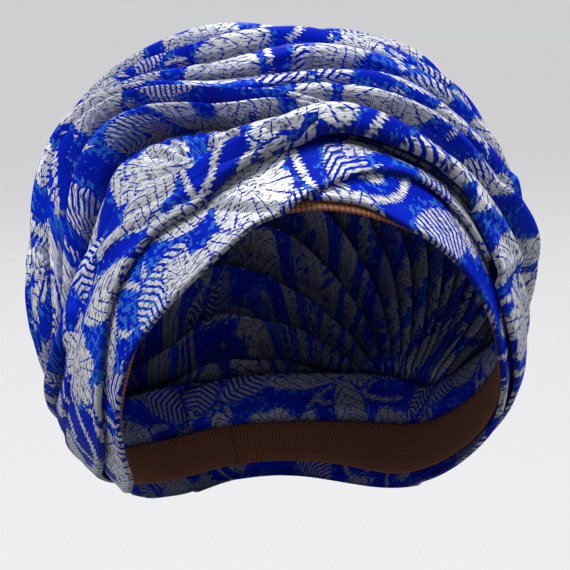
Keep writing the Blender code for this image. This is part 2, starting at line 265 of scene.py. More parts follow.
@dataclass(frozen=True)
class Stacking:
    """Gaps between sheets, and how a sheet comes down past the edge of one below it."""

    head_gap: float = 0.4 * MM
    sheet_gap: float = 0.8 * MM
    edge_margin: float = 1.0
    edge_slope: float = 3.2
    end_margin: float = 7.0
    end_stretch: float = 3.0

    def seat(self, lower: tuple, phi: Grid, theta: Grid) -> Grid:
        """Lift that clears every sheet below: the highest top, eased off past its edge.

        Args:
            lower: the sheets below, each with depth() and top().
            phi: where the lift is read, in degrees.
            theta: the same.

        Returns:
            Lift of the new sheet's inner face in metres.
        """
        lift = np.full(np.broadcast(phi, theta).shape, self.head_gap)
        for sheet in lower:
            cover = ease((sheet.depth(phi, theta) + self.edge_margin) / self.edge_slope + 1.0)
            lift = np.maximum(lift, cover * (sheet.top(phi, theta) + self.sheet_gap))
        return lift


STACKING = Stacking()


@dataclass(frozen=True)
class PlacedMotif:
    """One figure of the brocade at its place in the repeat, in millimetres and degrees.

    The names in capitals are the shares of a flower's half length that make its rim, the
    pitches of the engraved lines, and how a leaf swells and tapers.
    """

    CORE, SCALLOP, UNEVEN = 0.64, 0.30, 0.06
    SCALLOP_POWER, LEAF_POWER = 0.7, 0.7
    HEART, HEART_PITCH, LINES_A_PETAL = 0.26, 2.6, 3.0
    FERN_PITCH, FERN_SLANT = 2.4, 0.5
    LEAF_PITCH, LEAF_SLANT = 4.4, 1.1
    TAPER, FLANK, MIDRIB_FLANK, MIDRIB = 0.25, 0.85, 0.9, 0.2
    STEM_REACH = 9.0

    kind: Motif
    u: float
    v: float
    turn: float
    length: float
    width: float

    def local(self, u: Grid, v: Grid, repeat: tuple[float, float]) -> tuple[Grid, Grid]:
        """Cloth coordinates from the figure's middle, wrapped by the repeat and turned.

        Args:
            u: distance along the cloth in millimetres.
            v: distance across it.
            repeat: size of the pattern's repeat along and across.

        Returns:
            Distance along the figure and across it.
        """
        across = (u - self.u + repeat[0] / 2) % repeat[0] - repeat[0] / 2
        up = (v - self.v + repeat[1] / 2) % repeat[1] - repeat[1] / 2
        c, s = math.cos(math.radians(self.turn)), math.sin(math.radians(self.turn))
        return across * c + up * s, up * c - across * s

    def shape(self, x: Grid, y: Grid) -> tuple[Grid, Grid]:
        """Depth inside the figure's outline and the phase of its engraved lines.

        A flower's outline is a circle scalloped by a power of |cos| of half its petal
        angle, and its lines run along the petals. A leaf is as wide as a power of a
        parabola, narrower to its tip, and its lines slant back from the midrib. A stem is
        an arc whose radius is its width value.

        Args:
            x: distance along the figure.
            y: distance across it.

        Returns:
            Depth in millimetres, below zero outside, and phase in lines.
        """
        if self.kind in (Motif.FLOWER, Motif.CLOUD):
            petals = 6 if self.kind is Motif.FLOWER else 5
            radius, angle = np.hypot(x, y * self.length / self.width), np.arctan2(y, x)
            scallop = np.abs(np.cos(petals * angle / 2.0)) ** self.SCALLOP_POWER
            uneven = self.UNEVEN * np.sin(3.0 * angle + self.u)
            rim = self.length / 2 * (self.CORE + self.SCALLOP * scallop + uneven)
            petal = (angle * petals / (2.0 * np.pi) + 0.5) % 1.0 - 0.5
            ring, ray = radius / self.HEART_PITCH, petal * self.LINES_A_PETAL + 0.5
            return rim - radius, np.where(radius < self.HEART * rim, ring, ray)
        half = self.length / 2
        if self.kind is Motif.STEM:
            offset = np.hypot(x, y - self.width) - abs(self.width)
            inside = self.STEM_REACH - np.abs(offset)
            return np.where(np.abs(x) < half, inside, -self.STEM_REACH), offset
        lean, away = x / half, np.abs(y)
        profile = np.clip(1.0 - lean**2, 0.0, 1.0) ** self.LEAF_POWER * (1.0 - self.TAPER * lean)
        beyond = np.maximum(np.abs(x) - half, 0.0)
        depth = (self.width / 2 * profile - away) * self.FLANK - beyond
        if self.kind is Motif.FERN:
            return depth, (x + self.FERN_SLANT * away) / self.FERN_PITCH
        beside_rib = away * self.MIDRIB_FLANK - self.MIDRIB
        return np.minimum(depth, beside_rib), (x + self.LEAF_SLANT * away) / self.LEAF_PITCH


@dataclass(frozen=True)
class Brocade:
    """The woven design: a repeat of flowers, leaves, ferns and stems.

    Columns of a row of figures: kind, u and v of its middle, turn, length, width. A
    stem's width is the radius of its arc. Depths stop at far. Each silver figure is grown
    by spread and has a bare outline. The shares engraved and fern_open are the parts of a
    figure's lines that are bare.
    """

    repeat: tuple[float, float] = (104.0, 88.0)
    outline: float = 0.8
    spread: float = 1.0
    far: float = 9.0
    engraved: float = 0.13
    fern_open: float = 0.42
    figures: tuple[tuple, ...] = (
        (Motif.CLOUD, 80, 22, 20, 36, 28),
        (Motif.CLOUD, 28, 62, 60, 36, 28),
        (Motif.STEM, 50, 44, 25, 62, 48),
        (Motif.STEM, 92, 56, 100, 54, -40),
        (Motif.STEM, 8, 12, 70, 46, 44),
        (Motif.STEM, 62, 82, -20, 44, -60),
        (Motif.STEM, 36, 8, 40, 44, 26),
        (Motif.STEM, 62, 36, -60, 42, -26),
        (Motif.STEM, 98, 72, 15, 44, 28),
        (Motif.STEM, 40, 44, 130, 40, -24),
        (Motif.STEM, 4, 34, -30, 36, 20),
        (Motif.STEM, 52, 64, 75, 36, 20),
        (Motif.FERN, 55, 6, 35, 32, 12),
        (Motif.FERN, 2, 48, 110, 30, 11),
        (Motif.FERN, 88, 46, -35, 28, 10),
        (Motif.FERN, 38, 56, 20, 28, 10),
        (Motif.LEAF, 44, 32, 60, 32, 12),
        (Motif.LEAF, 66, 48, -15, 30, 11),
        (Motif.LEAF, 100, 18, 80, 30, 11),
        (Motif.LEAF, 50, 72, 150, 30, 11),
        (Motif.LEAF, 82, 82, 15, 28, 10),
        (Motif.LEAF, 12, 64, 35, 24, 9),
        (Motif.LEAF, 66, 20, 110, 24, 9),
        (Motif.FLOWER, 22, 22, 10, 33, 29),
        (Motif.FLOWER, 76, 62, 30, 31, 27),
        (Motif.FLOWER, 22, 82, 0, 23, 21),
        (Motif.FLOWER, 78, 22, 40, 24, 22),
        (Motif.FLOWER, 46, 52, 10, 17, 15),
    )

    def fields(self, u: Grid, v: Grid) -> dict[str, Grid]:
        """The design at points of the cloth.

        Figures are laid one over another, later ones on top with a bare outline round
        them. Each field is smooth, so that it can be read between mesh points.

        Args:
            u: distance along the cloth in millimetres.
            v: distance across it in millimetres.

        Returns:
            Arrays named for the mesh attributes: motif is depth inside silver figures,
            stem the offset from the nearest stem, vein the phase of engraved lines, open
            the share of the lines that is bare, and tone the depth inside mid-blue ones.
        """
        motif = np.full(u.shape, -self.far)
        stem = np.full(u.shape, self.far)
        tone = np.full(u.shape, -self.far)
        vein = np.zeros(u.shape)
        bare = np.full(u.shape, self.engraved)
        for placed in (PlacedMotif(*row) for row in self.figures):
            inside, phase = placed.shape(*placed.local(u, v, self.repeat))
            if placed.kind is Motif.CLOUD:
                tone = np.maximum(tone, inside)
            elif placed.kind is Motif.STEM:
                stem = np.where(inside > -self.far, np.minimum(stem, np.abs(phase)), stem)
            else:
                inside = inside + self.spread
                on_top = inside > -self.outline
                motif = np.where(on_top, inside, np.maximum(motif, inside))
                vein = np.where(on_top, phase, vein)
                share = self.fern_open if placed.kind is Motif.FERN else self.engraved
                bare = np.where(on_top, share, bare)
        stem = np.where(motif > -self.outline, self.far, stem)
        return {
            "motif": np.clip(motif, -self.far, self.far),
            "stem": np.clip(stem, -self.far, self.far),
            "vein": vein,
            "open": bare,
            "tone": np.clip(tone, -self.far, self.far),
        }


@dataclass
class ClothMesh:
    """A closed shell of cloth between an outer grid and an inner one at half its density.

    The outer grid has an even number of steps both ways. The rim joins each inner edge to
    the two outer edges over it.
    """

    name: str
    outer: Grid
    inner: Grid
    u: Grid
    v: Grid
    attributes: dict[str, Grid] = field(default_factory=dict)

    def flat_size(self) -> tuple[float, float]:
        """Flat width and length of the cloth: mean lengths of the outer grid's lines.

        Returns:
            Width and length in metres, to the millimetre.
        """
        across = np.linalg.norm(np.diff(self.outer, axis=1), axis=-1).sum(axis=1).mean()
        along = np.linalg.norm(np.diff(self.outer, axis=0), axis=-1).sum(axis=0).mean()
        return round(float(across), 3), round(float(along), 3)

    @staticmethod
    def lengths(points: Grid, axis: int, start: int) -> Grid:
        """Running length of the grid lines along an axis, zero at the start index.

        Args:
            points: a grid of points.
            axis: 0 to run along the rows, 1 to run along the columns.
            start: index on that axis where the length is zero.

        Returns:
            The length at each point in metres.
        """
        steps = np.linalg.norm(np.diff(points, axis=axis), axis=-1)
        pad = [(1, 0), (0, 0)] if axis == 0 else [(0, 0), (1, 0)]
        running = np.pad(np.cumsum(steps, axis=axis), pad)
        return running - np.take(running, [start], axis=axis)

    @staticmethod
    def quads(corner: Grid) -> Grid:
        """Faces between neighbouring points of a grid.

        Args:
            corner: the grid's vertex numbers.

        Returns:
            Four vertex numbers a face.
        """
        around = (corner[:-1, :-1], corner[1:, :-1], corner[1:, 1:], corner[:-1, 1:])
        return np.stack(around, -1).reshape(-1, 4)

    def faces(self, rows: int, columns: int) -> tuple[Grid, Grid, Grid]:
        """Faces of the closed shell, turned outwards.

        Args:
            rows: rows of points in the outer grid.
            columns: columns of points in it.

        Returns:
            Vertex numbers of the outer quads, the inner quads and the rim's pentagons.
        """
        top = np.arange(rows * columns).reshape(rows, columns)
        low_rows, low_columns = (rows + 1) // 2, (columns + 1) // 2
        low = np.arange(low_rows * low_columns).reshape(low_rows, low_columns) + rows * columns
        inner = self.quads(low)[:, [0, 3, 2, 1]]
        rims = []
        for edge, under, flip in (
            (top[:, 0], low[:, 0], False),
            (top[:, -1], low[:, -1], True),
            (top[0], low[0], True),
            (top[-1], low[-1], False),
        ):
            rim = np.stack((edge[:-2:2], under[:-1], under[1:], edge[2::2], edge[1::2]), -1)
            rims.append(rim[:, ::-1] if flip else rim)
        return self.quads(top), inner, np.concatenate(rims)

    def build(self, materials: list[bpy.types.Material]) -> bpy.types.Object:
        """Make the mesh object, with its cloth coordinates and attributes.

        Args:
            materials: the face side's finish, and the wrong side's if it differs.

        Returns:
            The new object at the origin, with its place in its mesh.
        """
        rows, columns = self.outer.shape[:2]
        outer, inner, rim = self.faces(rows, columns)
        points = np.concatenate((self.outer.reshape(-1, 3), self.inner[::2, ::2].reshape(-1, 3)))
        mesh = bpy.data.meshes.new(self.name)
        mesh.from_pydata(points.tolist(), [], outer.tolist() + inner.tolist() + rim.tolist())
        both = {
            key: np.concatenate((grid.ravel(), grid[::2, ::2].ravel()))
            for key, grid in {"u": self.u, "v": self.v, **self.attributes}.items()
        }
        corner = np.zeros(len(mesh.loops), np.int32)
        mesh.loops.foreach_get("vertex_index", corner)
        cloth = mesh.uv_layers.new(name="cloth")
        woven = np.stack((both.pop("u")[corner], both.pop("v")[corner]), -1)
        cloth.data.foreach_set("uv", woven.ravel())
        for key, values in both.items():
            layer = mesh.attributes.new(key, "FLOAT", "POINT")
            layer.data.foreach_set("value", values.astype(np.float32))
        wrong_side = np.zeros(len(mesh.polygons), np.int32)
        wrong_side[len(outer) : len(outer) + len(inner)] = len(materials) - 1
        for material in materials:
            mesh.materials.append(material)
        mesh.polygons.foreach_set("material_index", wrong_side)
        mesh.shade_smooth()
        mesh.update()
        piece = bpy.data.objects.new(self.name, mesh)
        bpy.context.scene.collection.objects.link(piece)
        return piece


EDGE_COLUMNS = ("low_phi", "low_theta", "high_phi", "high_theta", "puff")

LINING_EDGES = (
    (-180, -48, -180, -37, 0),
    (-150, -47, -150, -36, 0),
    (-120, -40.5, -120, -30, 0),
    (-95, -29.5, -98, -20, 0),
    (-79, -22, -84, -13, 0),
    (-67, -11.5, -75, -5, 0),
    (-61, 4, -69, 10, 0),
    (-56, 14, -63, 21, 0),
    (-44, 26, -50, 33, 0),
    (-30, 35.5, -34, 43, 0),
    (-15, 38.5, -16, 47, 0),
    (0, 37.5, 0, 48, 0),
    (15, 33.5, 17, 43.5, 0),
    (27, 28.5, 33, 37, 0),
    (37, 19.5, 45, 26.5, 0),
    (44, 10.5, 54, 15, 0),
    (50, 0.5, 62, 4, 0),
    (60, -13.5, 72, -6, 0),
    (76, -28.5, 84, -17, 0),
    (95, -38.5, 98, -26, 0),
    (120, -44, 120, -32, 0),
    (150, -47, 150, -36, 0),
    (180, -48, 180, -37, 0),
)

UNDER_EDGES = (
    (-26, 40, -24, 46, 0),
    (-14, 40, -14, 50, 0),
    (-6, 39.5, -6, 52, 0),
    (3, 38, 3, 52, 0),
    (12, 34, 14, 50, 0.5),
    (20, 30.5, 24, 46, 1),
    (28, 25.5, 35, 40, 1),
    (36, 18, 46, 32, 1),
    (42, 10, 55, 22, 1),
    (47, 1, 63, 11, 1),
    (54, -10, 72, 2, 1),
    (64, -23, 84, -5, 0.5),
    (78, -34, 95, -13, 0),
    (97, -42.5, 105, -19, 0),
    (120, -48, 120, -20, 0),
    (150, -51, 150, -23, 0),
    (180, -52, 180, -24, 0),
    (196, -51, 196, -26, 0),
)

OVER_EDGES = (
    (-198, -50, -198, -26, 0),
    (-180, -51, -180, -24, 0),
    (-150, -51, -150, -23, 0),
    (-120, -44, -120, -20, 0),
    (-97, -33, -105, -18, 0),
    (-80, -25.5, -95, -12, 0.5),
    (-69, -18, -86, -4, 1),
    (-64, -10, -80, 3, 1),
    (-61.5, 1, -75, 12, 1),
    (-57, 11, -70, 22, 1),
    (-45, 23, -58, 34, 1),
    (-30, 34, -42, 43, 1),
    (-20, 37.5, -28, 49, 1),
    (-10, 41, -13, 52.5, 1),
    (0, 43, 0, 53, 1),
    (10, 43.5, 11, 51.5, 1),
    (20, 41.5, 22, 48.5, 1),
    (28, 37.5, 32, 43, 0.8),
    (35, 31, 41, 36.5, 0.5),
    (40, 23.5, 48, 29, 0),
)

PANEL_EDGES = (
    (-74.5, 14, -77, 19, 0),
    (-72, 21, -77, 29, 0),
    (-69, 27, -76.8, 38, 0.3),
    (-62, 33, -73, 45.5, 0.9),
    (-50, 38, -63, 50.5, 0.9),
    (-38, 42, -48, 53, 0.85),
    (-25, 46, -30, 53.5, 1),
    (-13, 49, -14, 55, 1),
    (0, 50, 0, 55, 1),
    (10, 48, 12, 52.5, 0.95),
    (18, 45.5, 21, 49, 0.8),
    (26, 42, 30, 44.5, 0.6),
    (32, 37.5, 36, 40, 0.5),
    (37, 30.5, 43, 34, 0.4),
    (40, 22, 49, 27, 0.4),
    (44, 13, 56, 18, 0.4),
    (51, 2, 65, 9, 0.4),
    (60, -9, 75, 0, 0.4),
    (72, -22, 88, -9, 0.3),
    (88, -33, 101, -19, 0.2),
    (106, -40.5, 115, -25, 0.2),
    (124, -45, 130, -28, 0.2),
    (143, -47, 146, -29.5, 0.2),
    (162, -48.5, 163, -29.5, 0.2),
    (180, -49, 180, -29, 0.2),
)

FOLD_EDGES = (
    (-197, -46, -197, -31, 0.3),
    (-180, -47, -180, -29, 0.5),
    (-155, -47, -155, -29, 0.5),
    (-132, -42, -134, -28, 0.5),
    (-108, -33.5, -116, -23, 0.5),
    (-90, -24.5, -101, -16, 0.8),
    (-76, -16.5, -89, -8, 1),
    (-68, -9, -80, 0, 1),
    (-65, 2, -76.5, 8, 1),
    (-63.5, 12, -76, 17, 1),
    (-61.5, 21, -73.5, 26, 1),
    (-54, 31, -65.5, 34.5, 1),
    (-43, 37, -51, 40.5, 1),
    (-32, 42.5, -38, 45, 0.9),
    (-22, 46.5, -25, 48.4, 0.6),
    (-13, 49.2, -14, 50.3, 0.2),
    (-9, 50.2, -9, 50.9, 0),
)

PLEAT_STATIONS = (0.08, 0.24, 0.32, 0.42, 0.50, 0.60, 0.76, 0.92)
PLEATS = (
    (0.60, 1.25, 53, 61, 72.5, 61.5, 59.0, 54.0, 47, 53),
    (0.70, 0.95, 57, 68, 77.5, 65.0, 61.5, 57.5, 52, 57),
    (0.80, 1.00, 62, 74, 82.5, 69.0, 64.5, 61.0, 58, 61),
    (0.90, 1.05, 67, 80, 87.5, 73.0, 68.0, 65.0, 64, 65),
    (1.00, 1.10, 72, 86, 92.5, 78.0, 72.0, 70.0, 70, 70),
    (1.00, 1.00, 78, 91, 98.0, 84.0, 77.5, 76.0, 76, 75),
    (1.00, 0.90, 85, 97, 103.5, 90.5, 83.5, 82.5, 83, 79),
    (1.00, 1.00, 92, 103, 109.0, 97.0, 90.0, 89.5, 90, 87),
    (0.98, 0.90, 99, 109, 115.0, 104.0, 97.0, 97.0, 98, 95),
    (0.95, 1.00, 106, 115, 121.0, 111.5, 104.5, 104.5, 106, 102),
    (0.90, 0.90, 112, 122, 127.5, 119.5, 112.5, 113.0, 114, 109),
    (0.85, 0.95, 118, 129, 134.0, 128.0, 121.5, 122.0, 123, 116),
    (0.75, 0.85, 124, 136, 140.5, 136.5, 131.0, 131.5, 132, 123),
    (0.60, 0.80, 130, 142, 147.0, 145.0, 141.0, 141.0, 140, 129),
    (0.45, 0.60, 136, 148, 153.5, 153.0, 151.0, 151.0, 147, 135),
)
SWELL_ACROSS = (0.05, 0.70, 1.80, 1.00, 0.85, 1.45, 0.95, 0.10)
HEIGHT_ACROSS = (0.60, 0.95, 1.08, 0.90, 0.90, 1.00, 0.95, 0.65)


@dataclass
class Wrap:
    """A strip of cloth wound round the head between two edge curves.

    The edge table has a row for each station along the strip, with the columns in
    EDGE_COLUMNS: the places of its lower and upper edges in degrees, and its share of
    the puff.
    """

    name: str
    slot: str
    edges: tuple[tuple[float, ...], ...]
    lower: tuple
    wall: float = 1.6 * MM
    puff: float = 0.5 * MM
    edge_fullness: float = 2.0
    hem: float = 1.3 * MM
    hem_roll: float = 0.6 * MM
    wrinkle: float = 0.6 * MM
    wrinkle_pitch: float = 11 * MM
    hem_thinness: float = 0.12
    hem_roll_reach: float = 2.5 * MM
    # painted shade at the hems: how much the colour darkens, and how far in
    painted_hem_shade: float = 0.65
    painted_hem_shade_reach: float = 0.9 * MM
    steps_along: int = 640
    steps_across: int = 72
    even_steps: float = 0.6
    cloth_shift: tuple[float, float] = (0.0, 0.0)
    held: Held = Held.STRETCHED
    closed: bool = False
    seed: float = 1.0

    def __post_init__(self) -> None:
        """Read the edge curves densely, once."""
        self.table = dict(zip(EDGE_COLUMNS, np.array(self.edges, float).T))
        self.rows = np.arange(len(self.edges))
        dense = np.linspace(0, len(self.edges) - 1, 20 * len(self.edges))
        self.low = self.edge("low", dense)
        self.high = self.edge("high", dense)
        self.puff_along = self.column("puff", dense)
        self.first = min(self.low[0][0], self.high[0][0])
        self.last = max(self.low[0][-1], self.high[0][-1])

    def column(self, name: str, along: Grid) -> Grid:
        """One column of the edge table, read smoothly between its rows.

        Args:
            name: the column's name in EDGE_COLUMNS.
            along: where it is read, one to each row.

        Returns:
            The column's values.
        """
        return glide(along, self.rows, self.table[name])

    def edge(self, side: str, along: Grid) -> tuple[Grid, Grid, Grid]:
        """One edge, and how much its slope lengthens a height that is measured upright.

        Args:
            side: low or high.
            along: where it is read, one to each row of the table.

        Returns:
            Phi, theta, and the factor: the root of 1 plus the slope squared.
        """
        phi, theta = self.column(side + "_phi", along), self.column(side + "_theta", along)
        steep = np.gradient(theta, phi) / np.cos(np.radians(theta))
        return phi, theta, np.sqrt(1.0 + steep**2)

    def on_strip(self, phi: Grid) -> Grid:
        """The same angle, a turn away where that is nearer to this strip.

        Args:
            phi: any angle in degrees.

        Returns:
            The angle within half a turn of the strip's middle.
        """
        middle = (self.first + self.last) / 2
        return middle + (phi - middle + 180.0) % 360.0 - 180.0

    def depth(self, phi: Grid, theta: Grid) -> Grid:
        """Distance inside the strip's nearest edge.

        The height over each edge is divided by that edge's slope factor. The strip is read
        a turn to either side as well, because its ends may overlap at the nape.

        Args:
            phi: where it is read, in degrees.
            theta: the same.

        Returns:
            Degrees, negative outside.
        """
        low_phi, low_theta, low_slope = self.low
        high_phi, high_theta, high_slope = self.high
        depths = []
        for turn in (0.0, 360.0, -360.0):
            turned = self.on_strip(phi) + turn
            above = theta - np.interp(turned, low_phi, low_theta)
            below = np.interp(turned, high_phi, high_theta) - theta
            above = above / np.interp(turned, low_phi, low_slope)
            below = below / np.interp(turned, high_phi, high_slope)
            depth = np.minimum(above, below)
            if not self.closed:
                from_ends = np.minimum(turned - self.first, self.last - turned)
                depth = np.minimum(depth, (from_ends + STACKING.end_margin) / STACKING.end_stretch)
            depths.append(depth)
        return np.maximum.reduce(depths)

    def swell(self, across: Grid, puff_share: Grid) -> Grid:
        """Height of the puff across the strip: a power of a sine, zero at both edges.

        Args:
            across: share of the way from the lower edge to the upper one.
            puff_share: share of the puff that the strip has there.

        Returns:
            Height in metres.
        """
        arch = np.sin(np.pi * np.clip(across, 0.0, 1.0)) ** self.edge_fullness
        return self.puff * puff_share * arch

    def top(self, phi: Grid, theta: Grid) -> Grid:
        """Lift of the strip's outer face: its seat, its puff and its wall.

        Args:
            phi: where it is read, in degrees.
            theta: the same.

        Returns:
            Lift in metres.
        """
        turned = self.on_strip(phi)
        low, high = np.interp(turned, *self.low[:2]), np.interp(turned, *self.high[:2])
        across = np.clip((theta - low) / np.maximum(high - low, 1.0), 0.0, 1.0)
        puff_share = np.interp(turned, self.low[0], self.puff_along)
        return STACKING.seat(self.lower, phi, theta) + self.swell(across, puff_share) + self.wall

    def relief(self, u: Grid, across: Grid) -> Grid:
        """Long shallow wrinkles that run along the strip at a slant and fade at its edges.

        They are creases of a phase that grows across the strip, slowly along it, and
        wanders.

        Args:
            u: distance along the strip in metres.
            across: share of the way from the lower edge to the upper one.

        Returns:
            Height in metres, zero or below.
        """
        along = u / self.wrinkle_pitch
        lines = 2.2 * across + along / 9.0 + 0.25 * wander(along / 12.0, self.seed)
        strength = 0.55 + 0.45 * wander(along / 5.0, self.seed + 0.3, 2)
        depth = 0.5 + 0.5 * crease(lines)
        return -self.wrinkle * depth * np.sin(np.pi * across) * strength

    def mesh(self) -> ClothMesh:
        """The strip's fine surface: seat, puff and wrinkles, with hems rounded off.

        The outer face meets the inner one in a quarter circle at each hem, over a low
        rolled ridge: a bell curve of the distance from the edge. Steps across are closer
        together at the edges.

        Returns:
            The shell, with its cloth coordinates and the painted shade of its hems.
        """
        along = np.linspace(0, len(self.rows) - 1, self.steps_along + 1)[:, None]
        even = np.linspace(0.0, 1.0, self.steps_across + 1)[None, :]
        closer = 0.5 - 0.5 * np.cos(np.pi * even)
        across = self.even_steps * even + (1.0 - self.even_steps) * closer
        phi, theta = (
            self.column("low_" + name, along) * (1.0 - across)
            + self.column("high_" + name, along) * across
            for name in ("phi", "theta")
        )
        ray = HEAD.direction(phi, theta)
        seat = STACKING.seat(self.lower, phi, theta)
        flat = HEAD.place(ray, seat)
        u = ClothMesh.lengths(flat, 0, self.steps_along // 2)
        v = ClothMesh.lengths(flat, 1, 0)
        u = np.broadcast_to(u[:, self.steps_across // 2, None], u.shape)
        inner = seat + self.swell(across, self.column("puff", along)) + self.relief(u, across)
        from_edge = np.minimum(v, v[:, -1:] - v)
        rounding = np.sqrt(1.0 - (1.0 - np.clip(from_edge / self.hem, 0.0, 1.0)) ** 2)
        inner = inner + self.hem_roll * np.exp(-((from_edge / self.hem_roll_reach) ** 2))
        outer = inner + self.wall * (self.hem_thinness + (1.0 - self.hem_thinness) * rounding)
        points = HEAD.place(ray, outer), HEAD.place(ray, inner)
        cloth = ClothMesh(self.name, *points, u + self.cloth_shift[0], v + self.cloth_shift[1])
        # painted shade: a dark line painted along each hem, where a shadow would fall
        painted_dark = np.exp(-((from_edge / self.painted_hem_shade_reach) ** 2))
        cloth.attributes["painted_shade"] = 1.0 - self.painted_hem_shade * painted_dark
        return cloth

    def build(self, weave: Brocade, materials: list[bpy.types.Material]) -> bpy.types.Object:
        """Build the strip with the brocade on it, name it after its node and hide that node's
        part.

        Args:
            weave: the brocade's design.
            materials: the face side's finish, and the wrong side's if it differs.

        Returns:
            The finished object.
        """
        return dress(self, self.mesh(), weave, materials)


@dataclass
class Puff(Wrap):
    """The full wrap over the front, gathered towards the point where it goes under.

    gather_at is that point's share of the strip's length and width.
    """

    gather_at: tuple[float, float] = (0.16, 0.35)
    gather_width: float = 20 * MM
    gather_core: float = 6 * MM
    gather_reach: float = 34 * MM
    gather_height: float = 3.4 * MM
    gather_count: float = 8.0

    def relief(self, u: Grid, across: Grid) -> Grid:
        """Long wrinkles, and creases that fan out from the gathering point.

        The fan's phase is the angle round that point. It fades in over the core, out at
        its full reach, and with the root of a sine to the edges.

        Args:
            u: distance along the strip in metres.
            across: share of the way from the lower edge to the upper one.

        Returns:
            Height in metres, zero or below.
        """
        start = u.min() + self.gather_at[0] * (u.max() - u.min())
        du, dv = u - start, (across - self.gather_at[1]) * self.gather_width
        reach = np.hypot(du, dv)
        fan = np.arctan2(dv, du) / np.pi * self.gather_count
        fade = ease(reach / self.gather_core) * ease(1.0 - reach / self.gather_reach)
        depth = (0.5 + 0.5 * crease(fan)) * fade * np.sin(np.pi * across) ** 0.5
        return super().relief(u, across) - self.gather_height * depth


